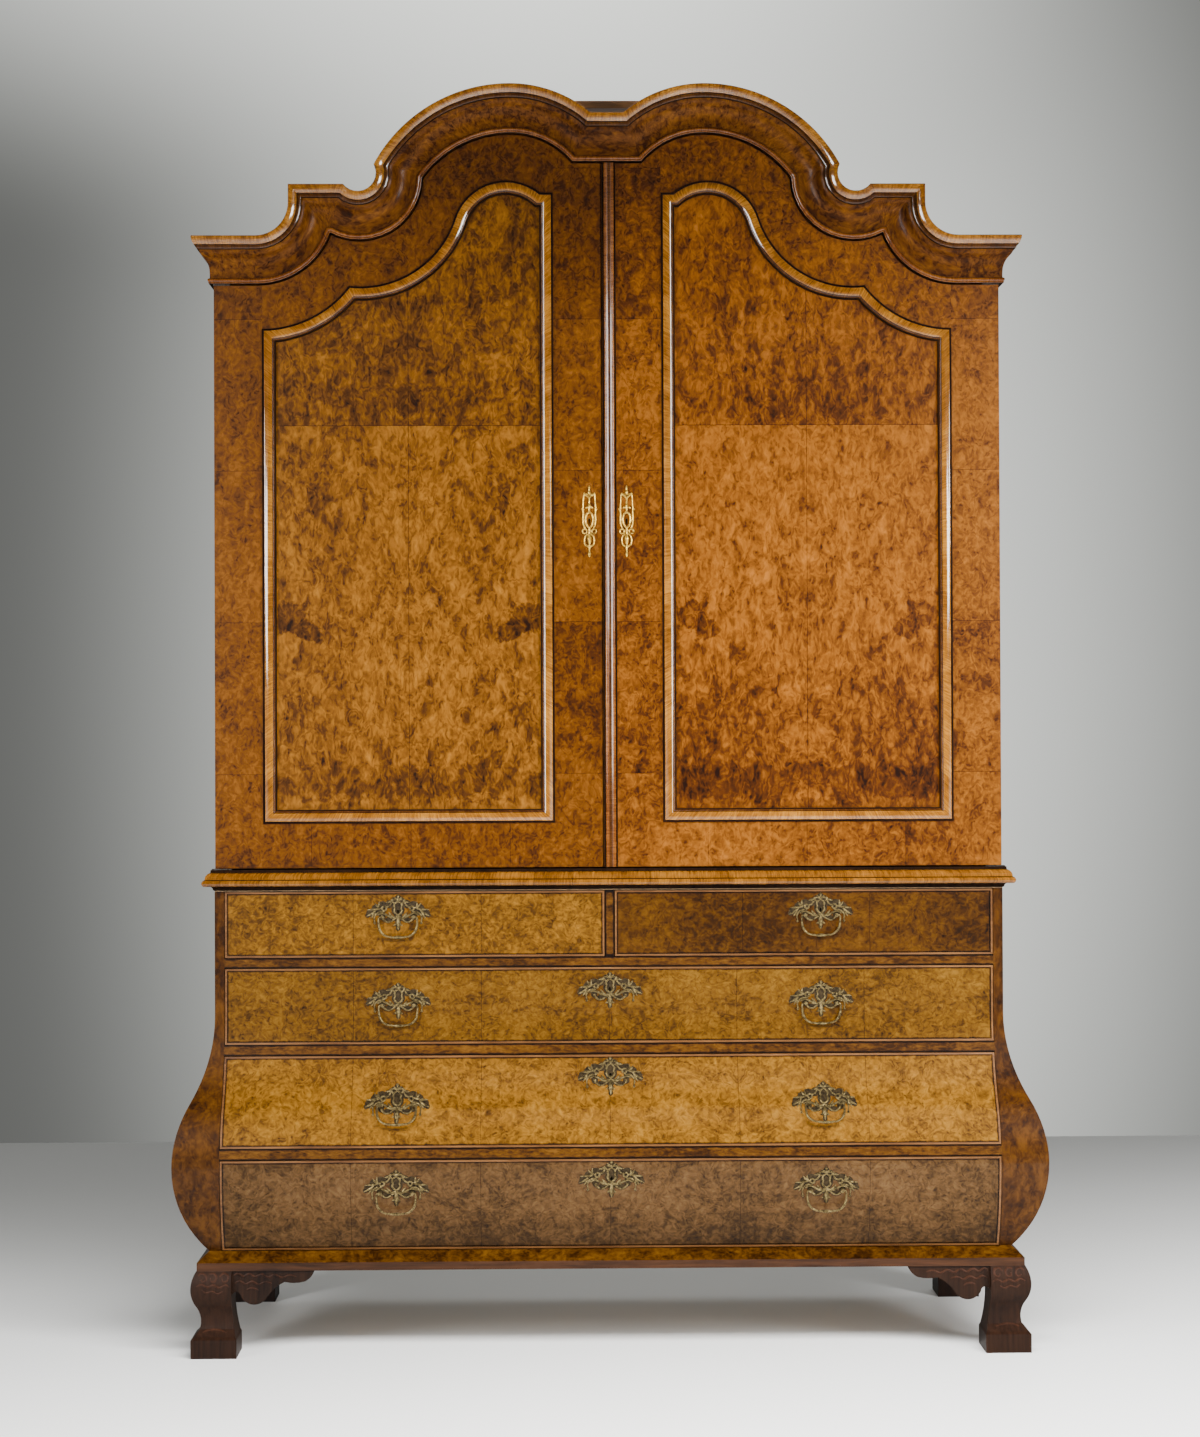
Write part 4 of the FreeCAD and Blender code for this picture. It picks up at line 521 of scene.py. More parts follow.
def piece_from(name, builder, finishes, body, smooth=35):
    """Makes a bmesh into a piece that rides on a body; smooth is the angle of its sharp edges."""
    bmesh.ops.remove_doubles(builder, verts=builder.verts, dist=1e-6)
    bmesh.ops.dissolve_degenerate(builder, edges=builder.edges, dist=1e-6)
    bmesh.ops.recalc_face_normals(builder, faces=builder.faces)
    mesh = bpy.data.meshes.new(name)
    builder.to_mesh(mesh)
    builder.free()
    mesh.shade_smooth()
    mesh.set_sharp_from_angle(angle=math.radians(smooth))
    for finish in finishes:
        mesh.materials.append(MATERIALS[finish])
    piece = add_object(name, mesh)
    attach(piece, body)
    return piece


def copy_faces(builder, node, wanted, finish=0, moved=None):
    """Adds the faces of a CAD node that wanted(middle) picks, with their corners moved if need be."""
    source = NODES[node].data
    for polygon in source.polygons:
        if wanted(polygon.center):
            places = [source.vertices[i].co for i in polygon.vertices]
            corners = [builder.verts.new(moved(place) if moved else place) for place in places]
            builder.faces.new(corners).material_index = finish


# ---- paths of lines and arcs
class Stretch:
    """Part of a path in a plane: turn is 0 for a line, 1 for an anticlockwise arc, -1 for a clockwise one."""

    def __init__(self, start, end, centre=None, turn=0):
        self.start, self.end, self.turn = Vector(start), Vector(end), turn
        self.centre = Vector(centre) if turn else None
        self.radius = (self.start - self.centre).length if turn else 0
        self.length = self.run(self.start, self.end)

    def heading(self, point):
        if not self.turn:
            return (self.end - self.start).normalized()
        across = (point - self.centre).normalized()
        return self.turn * Vector((-across.y, across.x))

    def moved(self, point, offset):
        """The point moved to the right of the travel."""
        ahead = self.heading(point)
        return point + offset * Vector((ahead.y, -ahead.x))

    def sweep(self, start, end):
        first, last = start - self.centre, end - self.centre
        return self.turn * (math.atan2(last.y, last.x) - math.atan2(first.y, first.x)) % math.tau

    def run(self, start, end):
        """How far it runs from start to end; less than nothing once it has run out."""
        if not self.turn:
            return (end - start).dot(self.heading(start))
        sweep = (self.sweep(start, end) + math.pi / 2) % math.tau - math.pi / 2
        return sweep * (start - self.centre).length

    def points(self, start, end, count):
        if not self.turn:
            return [start.lerp(end, n / count) for n in range(count)]
        spoke, sweep = start - self.centre, self.turn * self.sweep(start, end)
        return [self.centre + Matrix.Rotation(sweep * n / count, 2) @ spoke for n in range(count)]


def meeting(before, after, offset):
    """Where two neighbouring stretches meet once both have moved to their right."""
    end, start = before.moved(before.end, offset), after.moved(after.start, offset)
    ahead, onward = before.heading(before.end), after.heading(after.start)
    if (before.end - after.start).length < 1e-5 and (ahead - onward).length < 0.02:
        return start
    if not before.turn and not after.turn:
        return end + ahead * ((start - end).cross(onward) / ahead.cross(onward))
    radii = [stretch.radius + stretch.turn * offset for stretch in (before, after)]
    if before.turn and after.turn:
        meets = geometry.intersect_sphere_sphere_2d(before.centre, radii[0], after.centre, radii[1])
    elif before.turn:
        meets = geometry.intersect_line_sphere_2d(start, start + onward, before.centre, radii[0], False)
    else:
        meets = geometry.intersect_line_sphere_2d(end, end + ahead, after.centre, radii[1], False)
    return min(meets, key=lambda point: (point - (start + end) / 2).length)


def moved_path(path, offset, closed):
    """The stretches that are left at this offset, with their new ends."""
    kept = list(range(len(path)))
    while True:
        starts = {index: meeting(path[kept[place - 1]], path[index], offset)
                  for place, index in enumerate(kept) if place or closed}
        if not closed:
            starts[0] = path[0].moved(path[0].start, offset)
        ends = {index: starts[kept[(place + 1) % len(kept)]] for place, index in enumerate(kept)}
        if not closed:
            ends[kept[-1]] = path[kept[-1]].moved(path[kept[-1]].end, offset)
        shortest = min(kept, key=lambda index: path[index].run(starts[index], ends[index]))
        if path[shortest].run(starts[shortest], ends[shortest]) > 1e-9:
            return {index: (starts[index], ends[index]) for index in kept}
        kept.remove(shortest)


def moved_points(path, counts, offset, closed):
    """The same number of points at every offset; those of a stretch that has run out lie in its corner."""
    runs = moved_path(path, offset, closed)
    points = []
    for index, stretch in enumerate(path):
        if index in runs:
            points += stretch.points(*runs[index], counts[index])
        else:
            later = [n for n in runs if n > index]
            points += [runs[min(later or runs)][0]] * counts[index]
    return points if closed else points + [runs[max(runs)][1]]


ARC_STEP = 9 * MM
SECTION_CHORDS = 6


def section_levels(section):
    """Points of a section as (offset, rise, length so far, finish), with its curves cut into short chords."""
    levels, length = [], 0
    for (offset, rise, bulge, finish), following in zip(section, section[1:] + section[:1]):
        chord = complex(following[0] - offset, following[1] - rise) * MM
        half, steps = 2 * math.atan(bulge), SECTION_CHORDS if bulge else 1
        for n in range(steps):
            share = n / steps
            if bulge:
                share = cmath.exp(1j * (1 - share) * half) * math.sin(share * half) / math.sin(half)
            point = complex(offset, rise) * MM + chord * share
            levels.append((point.real, point.imag, length, finish))
            length += abs(chord) / steps
    return levels + [(*levels[0][:2], length, levels[0][3])]


def moulding(builder, path, section, space, closed, finishes):
    """Adds a moulding to a bmesh. section is its outline as (offset, rise, bulge, finish) in millimetres,
    where bulge and finish hold up to the next row; space(points, rise) places the points of one level, and
    for an open path may add a point at each end."""
    counts = [math.ceil(stretch.length / ARC_STEP) if stretch.turn else 1 for stretch in path]
    along = [0]
    for stretch, count in zip(path, counts):
        along += [along[-1] + stretch.length * (n + 1) / count for n in range(count)]
    levels = section_levels(section)
    rows = [space(moved_points(path, counts, offset, closed), rise) for offset, rise, _, _ in levels[:-1]]
    if len(rows[0]) == len(along) + 2:
        returned = (rows[0][0] - rows[0][1]).length
        along = [-returned] + along + [along[-1] + returned]
    layer = builder.loops.layers.uv.verify()
    grid = [ring(builder, row) for row in rows]
    grid.append(grid[0])
    for (_, _, near, finish), (_, _, far, _), row, following in zip(levels, levels[1:], grid, grid[1:]):
        for j in range(len(along) - 1):
            k = (j + 1) % len(row)
            face = builder.faces.new((row[j], row[k], following[k], following[j]))
            face.material_index = finishes.index(finish)
            corners = ((along[j], near), (along[j + 1], near), (along[j + 1], far), (along[j], far))
            for loop, corner in zip(face.loops, corners):
                loop[layer].uv = corner
    # the cut ends are closed in the near black of grime and painted shade
    if not closed:
        for column in (0, -1):
            builder.faces.new([row[column] for row in grid[:-1]]).material_index = finishes.index("grime")


def ring(builder, points):
    return [builder.verts.new(point) for point in points]


def moulding_piece(name, path, section, space, body, closed=False, kept=None):
    """A moulding as a piece; the rows of its section may leave out a bulge of 0 and a finish of grime and
    painted shade. kept is a CAD node and a test that picks those of its faces that stay."""
    section = [(*row, *(0, "grime")[len(row) - 2:]) for row in section]
    finishes = list(dict.fromkeys(finish for *_, finish in section))
    builder = bmesh.new()
    moulding(builder, path, section, space, closed, finishes)
    if kept:
        copy_faces(builder, *kept, finishes.index("grime"))
    return piece_from(name, builder, finishes, body)


def door_face(side=1):
    """Places the points of a moulding on the doors' face; side is -1 for its mirror image."""
    return lambda points, rise: [Vector((side * p.x, DOOR_FACE - rise, p.y)) for p in points]


# ---- cornice, waist and door mouldings
SIDE_SHARE = 0.77  # the cornice stands out less at the sides
CORNICE_FRONT = 50 * MM
SHOULDER = WING + 101 * MM
CORNICE_DIP = DOME_TOP - 57 * MM
CORNICE_SECTION = (
    (0, 0, 0, "fillet"), (0, 46.5, 0, "band"), (1, 48.5, 0.16, "band"), (16.5, 42),
    (17, 37.5, 0.12, "fillet"), (24, 35.5), (25, 30.5, 0.16, "cornice"), (34, 25.5, -0.2, "cornice"),
    (58, 8, -0.05, "cornice"), (77.5, 7), (78, 8.5, 0.75, "bead"), (85, 10), (85.3, 9.5, 0.5, "bead"),
    (88, 9.5), (88, 0))


def cornice_path():
    """Outer top edge of the cornice, from the left tip to the right tip, in (x, z)."""
    dip_half, step_x = 32.4 * MM, CASE_HALF - 153 * MM
    scoop, scoop_radius = Vector((step_x - 136.5 * MM, SHOULDER + 22 * MM)), 36 * MM
    dome_x, dome_radius = scoop.x - 299 * MM, 304 * MM
    dome = Vector((dome_x, DOME_TOP - dome_radius))
    reach, rise = dome_x - dip_half, DOME_TOP - CORNICE_DIP
    inner = Vector((dome_x, DOME_TOP - (reach ** 2 + rise ** 2) / (2 * rise)))
    cusps = geometry.intersect_sphere_sphere_2d(dome, dome_radius, scoop, scoop_radius)
    cusp = max(cusps, key=lambda point: point.y)
    scoop_end = (scoop.x + math.sqrt(scoop_radius ** 2 - (scoop.y - SHOULDER) ** 2), SHOULDER)
    cove_radius = 65 * MM
    cove = (step_x + cove_radius, WING + cove_radius)
    right = [
        Stretch((dip_half, CORNICE_DIP), (dome_x, DOME_TOP), inner, -1),
        Stretch((dome_x, DOME_TOP), cusp, dome, -1), Stretch(cusp, scoop_end, scoop, 1),
        Stretch(scoop_end, (step_x, SHOULDER)), Stretch((step_x, SHOULDER), (step_x, cove[1])),
        Stretch((step_x, cove[1]), (cove[0], WING), cove, 1),
        Stretch((cove[0], WING), (CASE_HALF + SIDE_SHARE * CORNICE_FRONT, WING))]
    flip = Vector((-1, 1))
    left = [Stretch(stretch.end * flip, stretch.start * flip, stretch.centre and stretch.centre * flip,
                    stretch.turn) for stretch in reversed(right)]
    return left + [Stretch((-dip_half, CORNICE_DIP), (dip_half, CORNICE_DIP))] + right


def cornice_space(points, rise):
    """The front member from mitre to mitre, and the returns to the back."""
    front = [Vector((point.x, DOOR_FACE - rise, point.y)) for point in points]
    front[-1].x = CASE_HALF + SIDE_SHARE * rise
    front[0].x = -front[-1].x
    ends = [Vector((point.x, UPPER_BACK, point.z)) for point in (front[0], front[-1])]
    return [ends[0]] + front + [ends[1]]


def make_cornice():
    piece = moulding_piece("cornice_mouldings", cornice_path(), CORNICE_SECTION, cornice_space, "case")
    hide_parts("cornice_moulding")


PANEL_SECTION = (
    (0, 0), (0, 3.2, 0.55), (3.2, 3.4), (4.2, 3.4, 0.32, "band"), (20, 4.6), (20.6, 2.6, -0.25, "fillet"),
    (24.4, 1.4, 0.3), (26.6, 1), (27, -6), (12.3, -6), (12.3, 0))


def panel_path():
    """Outer edge of the right panel's moulding, clockwise from its inner lower corner, in (x, z)."""
    inner, outer, foot = low(PANEL_MOULDING).x, high(PANEL_MOULDING).x, low(PANEL_MOULDING).z
    shoulder = SHOULDER - 8.7 * MM
    dome, dome_radius = Vector((inner + 93 * MM, shoulder - 83.3 * MM)), 107.5 * MM
    sweep = Vector((outer - 195 * MM, shoulder + 9.7 * MM))
    cove, cove_radius = Vector((outer, shoulder - 52.8 * MM)), 216.5 * MM
    cusp = (dome.x - math.sqrt(dome_radius ** 2 - (shoulder - dome.y) ** 2), shoulder)
    join = dome + (sweep - dome).normalized() * dome_radius
    corners = geometry.intersect_sphere_sphere_2d(sweep, (join - sweep).length, cove, cove_radius)
    corner = min(corners, key=lambda point: point.y)
    outer_top = (outer, cove.y - cove_radius)
    return [
        Stretch((inner, foot), (inner, shoulder)), Stretch((inner, shoulder), cusp),
        Stretch(cusp, join, dome, -1), Stretch(join, corner, sweep, 1), Stretch(corner, outer_top, cove, 1),
        Stretch(outer_top, (outer, foot)), Stretch((outer, foot), (inner, foot))]


def make_panel_mouldings():
    for name, side in (("left", -1), ("right", 1)):
        piece = moulding_piece(name + "_panel_moulding", panel_path(), PANEL_SECTION, door_face(side),
                               name + "_door", closed=True)
        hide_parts(name + "_door_moulding")


STRIP_SECTION = (
    (0, 0), (0, 4, 0.3), (2.8, 4), (3.4, 3.2, 0.75, "bead"), (10, 7.5, -0.22, "fillet"),
    (17, 7.5, 0.75, "bead"), (23.6, 3.2), (24.2, 4, 0.3), (27, 4), (27, 0))


def make_meeting_strip():
    foot, top = low("meeting_strip"), high("meeting_strip")
    path = [Stretch((foot.x, foot.z), (foot.x, top.z))]
    piece = moulding_piece("meeting_beads", path, STRIP_SECTION, door_face(), "right_door")
    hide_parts("meeting_strip")


# The path of the waist runs from right to left, so what stands out has a negative offset
WAIST_SECTION = (
    (0, 0), (-3, 1.5, -0.3), (-7, 8), (-19.5, 9, 0.55, "waist"), (-20.5, 20.5), (-17.5, 22, 0.35, "waist"),
    (-8.5, 35.5), (-7.5, 36), (-7, 41), (0, 41))
WAIST_RAIL = 60 * MM  # depth of the plain rail behind the front member


def make_waist():
    foot = low("waist_moulding").z
    right = [(CASE_HALF, UPPER_BACK), (CASE_HALF, DOOR_FACE)]
    corners = right + [(-x, y) for x, y in reversed(right)]
    path = [Stretch(start, end) for start, end in zip(corners, corners[1:])]
    piece = moulding_piece("waist_mouldings", path, WAIST_SECTION,
                           lambda points, rise: [Vector((p.x, p.y, foot + rise)) for p in points], "case",
                           kept=("waist_moulding", lambda face: MM < face.y - DOOR_FACE < WAIST_RAIL
                                 and abs(face.x) < CASE_HALF - MM))
    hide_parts("waist_moulding")


# ---- cast and carved ridges
KNOT_STEPS = 5
RIDGE_SIDES = 8
BAIL_SIDES = 10


def angles(count):
    return [math.tau * n / count for n in range(count)]


def smoothed(knots):
    """Catmull-Rom points through the knots."""
    knots = [Vector(knot) for knot in knots]
    knots = [knots[0]] + knots + [knots[-1]]
    points = []
    for before, start, end, after in zip(knots, knots[1:], knots[2:], knots[3:]):
        for n in range(KNOT_STEPS):
            t = n / KNOT_STEPS
            bend, twist = 2 * before - 5 * start + 4 * end - after, 3 * start - before - 3 * end + after
            points.append(0.5 * (2 * start + t * (end - before) + t ** 2 * bend + t ** 3 * twist))
    return points + [knots[-2]]


def headings(points):
    """Direction of a run of points at each of them, in their first two coordinates."""
    return [(after.xy - before.xy).normalized()
            for before, after in zip(points[:1] + points[:-1], points[1:] + points[-1:])]


def skin(builder, rings):
    """Joins rings of equal length into a tube with capped ends."""
    for first, second in zip(rings, rings[1:]):
        for k in range(len(first)):
            after = (k + 1) % len(first)
            builder.faces.new((first[k], first[after], second[after], second[k]))
    for end in (rings[0], rings[-1]):
        builder.faces.new(end)


def ridge(builder, knots, space, foot=0.9, height=0.9):
    """A raised ridge along (x, z, half width) knots in millimetres; space(x, z, rise) places it. foot lifts
    its widest part and height is its rise above that, as a share of its half width."""
    points = smoothed(knots)
    rings = []
    for point, ahead in zip(points, headings(points)):
        half = max(point.z, 0.25)
        around = []
        for angle in angles(RIDGE_SIDES):
            spot = point.xy + Vector((-ahead.y, ahead.x)) * half * math.cos(angle)
            rise = max(0, foot + height * half * math.sin(angle))
            around.append(space(spot.x * MM, spot.y * MM, rise * MM))
        rings.append(ring(builder, around))
    skin(builder, rings)


def ring_knots(x, z, radius, half, across=1):
    """Knots of a small ring, across times as wide as it is high."""
    return [(x + across * radius * math.sin(angle), z + radius * math.cos(angle), half)
            for angle in angles(8) + [0]]


# Pierced cast plates: ridges on the middle line, and those of the right half
HANDLE_MIDDLE = (
    ((0, 36, 0.8), (0, 33, 2.6), (0, 29, 1.4), (0, 25, 2.4), (0, 21, 1.2)),
    ((0, -8, 1.6), (0, -14, 3.6), (0, -19, 5), (0, -25, 4.2), (0, -30, 2.6), (0, -36, 0.4)))
HANDLE_RIGHT = (
    ((1, 25, 1.8), (5, 28.5, 1.6), (8, 31, 0.4)),
    ((1, 25, 1.6), (7, 26.5, 1.5), (12.5, 25, 1.9), (10, 20.5, 1.5), (7, 17.5, 1.4)),
    ((1, 22, 1.5), (5.5, 19, 1.8), (7.6, 14, 2), (6.4, 9, 1.6), (7.8, 3.5, 2.2), (4.5, -1.6, 2),
     (0, -4, 1.8)),
    ((11, 25, 1.5), (17, 21.5, 2.2), (24, 20.5, 0.4)),
    ((12, 24, 1.6), (14, 18, 1.5), (18, 13, 1.5), (24, 11, 1.6)),
    ring_knots(27.3, 8.7, 4.2, 1.7),
    ((31, 9, 1.5), (37, 10.5, 2.2), (42, 14, 2), (45, 19, 0.4)),
    ((36, 10, 1.5), (37.5, 15, 1.9), (37, 22, 0.4)),
    ((35, 9, 1.6), (42, 7.5, 2.4), (50, 6.5, 2.2), (61, 6, 0.4)),
    ((43, 8, 1.5), (47, 2, 2.4), (54, -3, 2.2), (63, -7, 0.5)),
    ((45, 4, 1.5), (49, -4, 2.1), (54, -11, 0.6)),
    ((27, 4.5, 1.6), (31, 1.5, 1.8), (37, 1.5, 2), (43, -2, 1.8), (47, -9, 1.4), (46, -17, 1.2),
     (46, -20, 2.5), (46, -22.5, 1)),
    ((0, -6, 2), (8, -9, 2.2), (15, -8.5, 2.6), (23, -4, 2.2), (33, -1.5, 1.8), (41, -5, 1.4)),
    ((11, -8, 2.4), (15, -3.5, 2.2), (18.5, 1.5, 0.4)),
    ((0, -9, 1.5), (7, -12, 1.4), (14, -17, 1.5), (22, -18, 1.6), (29, -13, 1.8), (31, -8, 3.2)),
    ((2, -21, 1.8), (6, -24, 1.6), (9, -25, 0.4)))
ESCUTCHEON_MIDDLE = (
    ((0, 71, 0.8), (0, 67, 2.4), (0, 62, 1.6), (0, 57, 3.4), (0, 53, 2.4)),
    ((0, 47, 2.4), (0, 41, 1.5), (0, 35, 1.8), (0, 30, 3.2), (0, 24, 2.4), (0, 19, 1.6)),
    ((0, -12, 2), (0, -18, 3), (0, -24, 2.2), (0, -29, 3.6), (0, -35, 5), (0, -41, 3.6), (0, -46, 2)),
    ((0, -47, 2), (0, -55, 2), (0, -60, 1.6), (0, -66, 3), (0, -71, 0.6)),
    ring_knots(0, 3, 15, 2.1, 0.5))
ESCUTCHEON_RIGHT = (
    ((0, 46, 2), (3, 49, 1.8), (7, 52, 1.9), (10.5, 56, 1.6)),
    ((0, 52, 1.6), (5, 53.5, 1.4), (10, 53, 1.8), (11.3, 45, 1.5), (11.8, 34, 1.5), (12.5, 25, 2),
     (12, 14, 1.7), (12.4, 4, 1.9), (11.8, -6, 1.6), (8, -15, 1.6)),
    ((12, 25, 1.6), (14.5, 23.5, 2.2), (16, 22.5, 1.2)),
    ((0, 29, 2), (4, 27.5, 2.4), (8, 25.5, 0.6)),
    ((9, 3, 1.5), (11.5, 2.5, 1.7), (12.2, 2, 1.2)),
    ring_knots(9.2, -20, 4.4, 1.6),
    ((3, -25, 1.6), (8, -30, 1.7), (9.6, -38, 1.7), (8.5, -46, 1.6), (4, -49, 1.8), (0, -52, 2)))


def cast_plate(builder, upright, right, space):
    """Both halves of a plate and the ridges on its middle line."""
    left = tuple([(-x, z, half) for x, z, half in knots] for knots in right)
    for knots in upright + right + left:
        ridge(builder, knots, space)


def make_escutcheons():
    for name in ("left", "right"):
        node = name + "_door_escutcheon"
        x, _, z = middle_of(node)
        builder = bmesh.new()
        cast_plate(builder, ESCUTCHEON_MIDDLE, ESCUTCHEON_RIGHT,
                   lambda across, up, rise: Vector((x + across, DOOR_FACE - rise, z + up)))
        piece = piece_from(name + "_key_plate", builder, ("gilt",), name + "_door", smooth=60)
        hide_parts(node)


# ---- drawer handles
DRAWER_GAP = 1.5 * MM
PIVOT_DROP = 8 * MM  # bail pivots below the middle of their plate
PIVOT_STAND = 9 * MM
PLATE_THICK = 2.5 * MM
SUNK_SHARE = 0.8  # share of a plate's thickness that ridges replace
STEEP = -0.2  # slope of the front beyond which a bail lies along it
# Middles of a row's handle plates and of its separate key plate, below the head of its opening
PLATE_DROPS = {"bottom": (55.5, 41), "third": (89.5, 41), "second": (66, 47), "top_left": (43.5,),
               "top_right": (43.5,)}
# Right half of a bail from its middle, as (across, drop, radius)
BAIL_KNOTS = ((0, 40, 3.3), (6, 40.2, 2.7), (11, 39.8, 1.8), (13, 39.5, 2.5), (15, 39.2, 1.8), (22, 38, 1.9),
              (30, 33, 2.1), (35.5, 25, 2.4), (37.5, 17, 2.1), (38, 9, 1.8), (38, 4, 1.7), (36.5, 0.8, 1.6),
              (33, 0, 1.6), (27, 0, 1.6))


def lift_of(place):
    """How far a point stands off the lower case's front."""
    return (place - on_front(place.x, place.z)).dot(front_normal(place.z))


def in_plate(place):
    """True for the faces of the plates that lie on a drawer front, false for posts and locks."""
    return -0.4 * MM < lift_of(place) < PLATE_THICK + 0.2 * MM


def sunk(place):
    """A point of a plate moved back, so that only a thin dark ground stays behind the ridges: patina and
    painted shade.
    """
    return place - front_normal(place.z) * max(0, lift_of(place)) * SUNK_SHARE


def make_fittings():
    for row, drops in PLATE_DROPS.items():
        drawer = row + "_drawer"
        heights = [high(drawer + "_front").z + DRAWER_GAP - drop * MM for drop in drops]
        bails = [node for node in NODES if node.startswith(drawer) and node.endswith("_bail")]
        spots = [(middle_of(bail).x, heights[0]) for bail in bails]
        builder = bmesh.new()
        for x, z in spots + [(0, height) for height in heights[1:]]:
            cast_plate(builder, HANDLE_MIDDLE, HANDLE_RIGHT,
                       lambda across, up, rise: on_front(x + across, z + up, rise))
        node = drawer + "_fittings"
        copy_faces(builder, node, lambda place: not in_plate(place))
        # the plates' own faces go back and take the dark ground of patina and painted shade
        copy_faces(builder, node, in_plate, 1, sunk)
        piece = piece_from(drawer + "_plates", builder, ("brass", "patina_and_shade"), drawer,
                           smooth=60)
        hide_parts(node)
        for bail, (x, z) in zip(bails, spots):
            make_bail(bail, x, z)


def make_bail(node, x, z):
    """A drop bail with a swollen grip, hung from the same pivots as the solid."""
    pivot = on_front(x, z - PIVOT_DROP, PIVOT_STAND)
    outward = front_normal(z)
    slope = outward.z / outward.y
    down = Vector((0, slope if slope < STEEP else 0, -1)).normalized()
    across = Vector((1, 0, 0))
    out = across.cross(down)
    right = smoothed(BAIL_KNOTS)
    points = [Vector((-point.x, point.y, point.z)) for point in right[:0:-1]] + right
    builder = bmesh.new()
    rings = []
    for point, ahead in zip(points, headings(points)):
        middle = pivot + (across * point.x + down * point.y) * MM
        side = across * -ahead.y + down * ahead.x
        rings.append(ring(builder, [middle + (side * math.cos(a) + out * math.sin(a)) * point.z * MM
                                    for a in angles(BAIL_SIDES)]))
    skin(builder, rings)
    piece = piece_from(node + "_grip", builder, ("brass",), node, smooth=60)
    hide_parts(node)


# ---- carving on the front feet
# Ridges on a front foot and its bracket as (distance inwards from its outer side, height, half width)
CARVED_RIDGES = (
    ((14, 160, 1.2), (20, 164, 1.8), (28, 161, 2.2), (30, 153, 2.2), (24, 149, 1.8), (20, 153, 1.4)),
    ((36, 163, 1.2), (44, 164, 2), (50, 158, 2.4), (47, 150, 2.2), (40, 150, 1.8), (39, 156, 1.2)),
    ((56, 158, 1.2), (63, 164, 2), (72, 160, 2.4), (71, 151, 2.2), (63, 149, 1.8), (61, 155, 1.2)),
    ((12, 140, 1.2), (22, 144, 2.2), (33, 139, 2.4), (44, 143, 2.2), (56, 138, 2.4), (68, 143, 2),
     (76, 138, 1.2)),
    ((22, 134, 1), (30, 128, 2), (42, 131, 1.6), (52, 126, 2), (62, 131, 1)),
    ((82, 158, 1.2), (90, 163, 2.2), (101, 157, 2.4), (112, 162, 2.2), (124, 156, 2.4), (136, 161, 2.2),
     (149, 155, 2.4), (162, 160, 2.2), (176, 154, 2.2), (190, 159, 1.8), (204, 156, 1)),
    ((84, 143, 1.2), (94, 148, 2.2), (106, 142, 2.4), (118, 147, 2.4), (131, 141, 2.2), (143, 146, 2),
     (156, 143, 1.2)),
    ((108, 131, 1.4), (115, 134, 2.2), (124, 133, 2.2), (131, 129, 1.4)),
    ((22, 49, 0.8), (32, 53, 1.6), (44, 54, 1.8), (56, 53, 1.6), (68, 49, 0.8)))


BARE_DEPTH = 20 * MM  # where a ridge runs past the wood, behind the brackets' front


def search_tree(node):
    mesh = NODES[node].data
    return BVHTree.FromPolygons([vertex.co for vertex in mesh.vertices],
                                [polygon.vertices[:] for polygon in mesh.polygons])


def leg_depth(trees, x, z):
    """The foremost point of the feet and brackets at a place, as they are seen from the front."""
    depths = [low("foot_brackets").y + BARE_DEPTH]
    for tree in trees:
        place = tree.ray_cast(Vector((x, -1, z)), Vector((0, 1, 0)))[0]
        if place:
            depths.append(place.y)
    return min(depths)


def make_carving():
    outer = high("front_feet").x
    trees = [search_tree(node) for node in ("front_feet", "foot_brackets")]
    builder = bmesh.new()
    for side in (-1, 1):
        def on_leg(inward, z, rise):
            x = side * (outer - inward)
            return Vector((x, leg_depth(trees, x, z) - rise, z))
        for knots in CARVED_RIDGES:
            ridge(builder, knots, on_leg, foot=0.1, height=0.6)
    piece_from("foot_carving", builder, ("carving",), "case", smooth=60)


# ---- stage, lights and camera
def make_floor():
    near, far, side, shade_start = -9, 2.45, 6.5, -0.9
    mesh = bpy.data.meshes.new("floor")
    mesh.from_pydata([(-side, near, 0), (side, near, 0), (side, far, 0), (-side, far, 0)], [], [(0, 1, 2, 3)])
    shader = Shader("pale_floor")
    x, y, _ = shader.split(shader.object)
    # the floor darkens away from the front and to the left, over a random tone: painted shade
    depth = shader.sum(y, (shader.noise(shader.object, 3, 4), 0.12, 0.5), (x, -0.36))
    stops = (0, (0.8, 0.8, 0.78)), (0.5, (0.62, 0.62, 0.605)), (1, (0.4, 0.4, 0.39))
    mesh.materials.append(shader.finish(shader.ramp(shader.band(depth, shade_start, far), stops), 0.5))
    add_object("floor", mesh)


STUDIO_LIGHT = 0.14
# Glows on the backdrop as (direction, weights of its x, y and z, reach, light)
GLOWS = ((0.055, 0.985, 0.02), (1, 1, 0.5), 0.3, 1.1), ((-0.08, 0.95, 0.36), (0.55, 1, 1), 0.2, 1.25)


def make_world():
    """Grey studio with soft glows on the backdrop behind the piece."""
    world = bpy.data.worlds.new("studio")
    bpy.context.scene.world = world
    world.use_nodes = True
    nodes = Nodes(world.node_tree)
    direction = nodes.add("TexCoord").outputs["Generated"]
    light = STUDIO_LIGHT
    for middle, weights, reach, power in GLOWS:
        target = Vector(middle) * Vector(weights)
        gap = nodes.vector("DISTANCE", nodes.vector("MULTIPLY", direction, weights), target, "Value")
        light = nodes.math("ADD", nodes.band(gap, 0, reach, power, 0, "SMOOTHERSTEP"), light)
    back = nodes.tree.nodes["Background"]
    back.inputs["Color"].default_value = (0.98, 1, 0.95, 1)
    nodes.feed(back.inputs["Strength"], light)


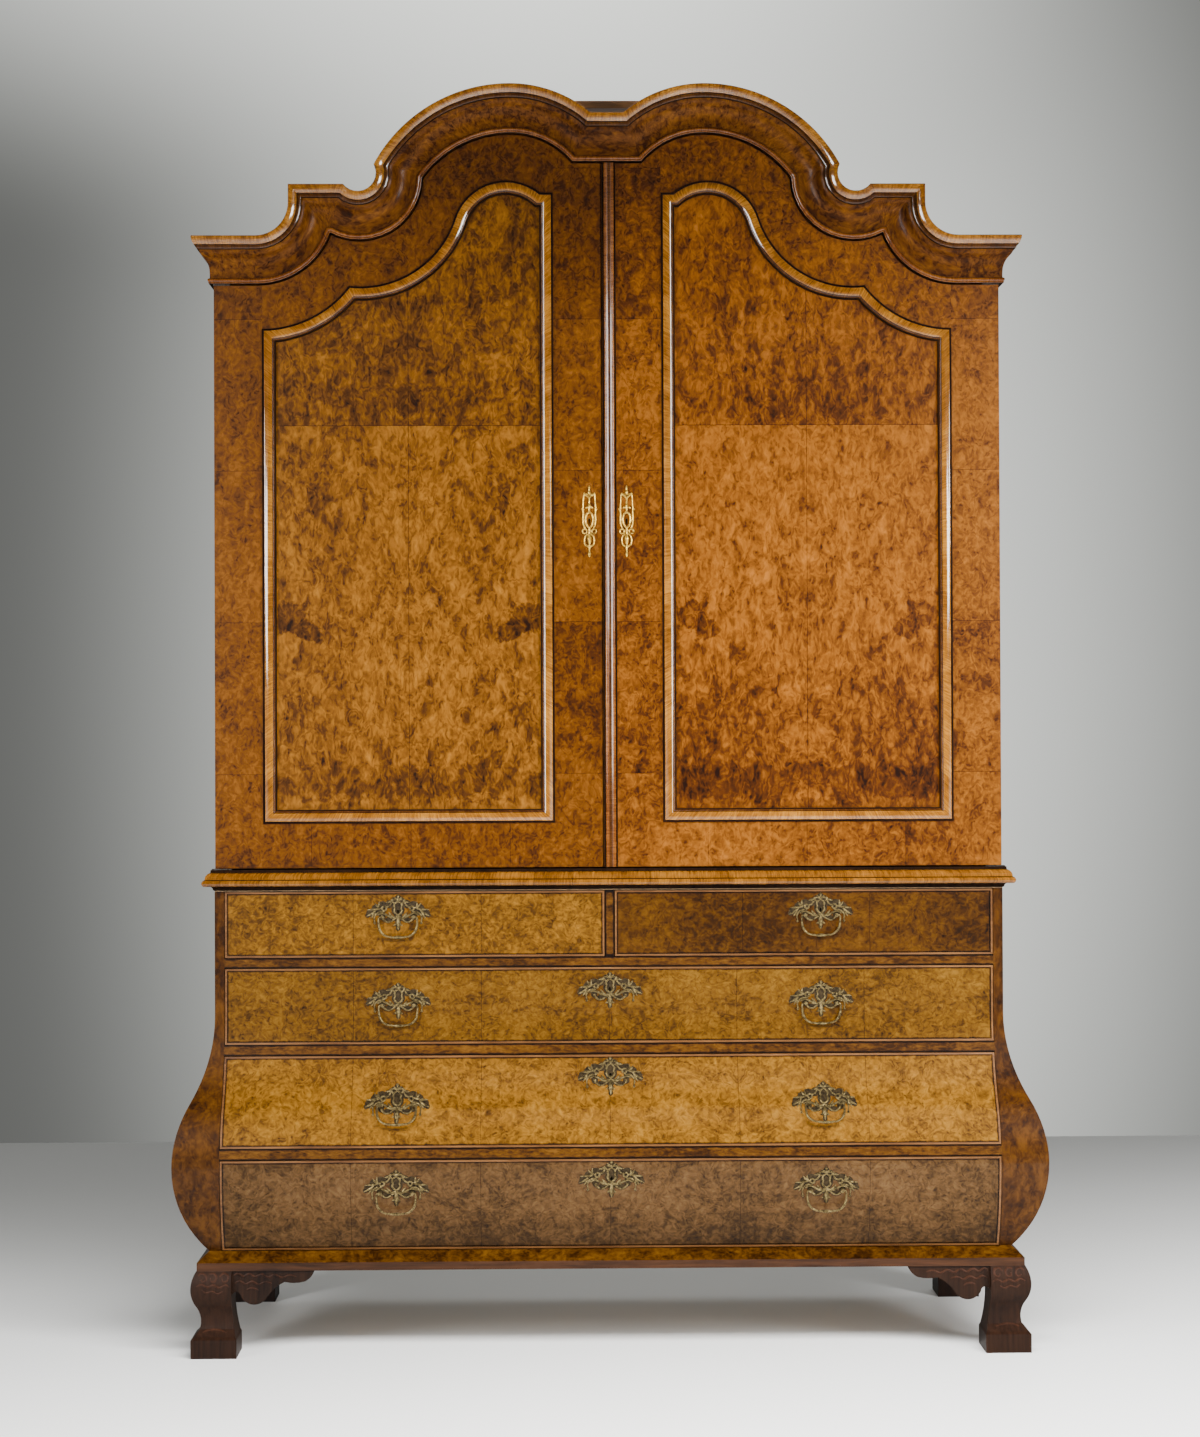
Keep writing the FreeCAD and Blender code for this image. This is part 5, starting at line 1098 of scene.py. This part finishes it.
def softbox(name, place, target, width, height, power, glint=False):
    """A rectangle of light that lights the scene or, as a glint, only shows in the polish."""
    light = bpy.data.lights.new(name, "AREA")
    light.shape = "RECTANGLE"
    light.size = width
    light.size_y = height
    light.energy = power
    lamp = add_object(name, light)
    lamp.location = place
    lamp.rotation_euler = (Vector(target) - Vector(place)).to_track_quat("-Z", "Y").to_euler()
    lamp.visible_diffuse, lamp.visible_glossy, lamp.visible_camera = not glint, glint, False


CAMERA_PLACE = (-0.0986, -5.3347, 1.197)
CAMERA_PITCH = 0.483  # degrees upwards
CAMERA_YAW = -0.907  # degrees, anticlockwise from above
CAMERA_ROLL = -0.231  # degrees
FOCAL_LENGTH = 64.91  # millimetres, on a frame 36 mm high


def make_camera():
    camera = add_object("camera", bpy.data.cameras.new("camera"))
    camera.data.lens = FOCAL_LENGTH
    turn = Matrix.Rotation(math.radians(CAMERA_YAW), 4, "Z")
    tilt = Matrix.Rotation(math.radians(90 + CAMERA_PITCH), 4, "X")
    roll = Matrix.Rotation(math.radians(CAMERA_ROLL), 4, "Z")
    camera.matrix_world = Matrix.Translation(CAMERA_PLACE) @ turn @ tilt @ roll
    bpy.context.scene.camera = camera


def make_studio():
    make_floor()
    make_world()
    softbox("left_softbox", (-3, -2.6, 1.95), (0, -0.2, 1.3), 0.7, 1.2, 95)
    softbox("right_softbox", (3, -2.6, 1.95), (0, -0.2, 1.3), 0.7, 1.2, 115)
    softbox("left_glint", (-2.7, -3.5, 1.9), (0, -0.2, 1.7), 1.3, 1.7, 360, glint=True)
    softbox("right_glint", (2.7, -3.5, 2.2), (0, -0.2, 1.75), 1.3, 1.2, 320, glint=True)
    softbox("back_softbox", (0.8, 2.6, 4.4), (0, 0, 1.5), 3, 1.5, 60)
    softbox("top_softbox", (0.8, -2.2, 2.3), (0.8, -2.2, 0), 3, 1, 500)
    make_camera()


dress_frame()
make_cornice()
make_panel_mouldings()
make_meeting_strip()
make_waist()
make_escutcheons()
make_fittings()
make_carving()
make_studio()
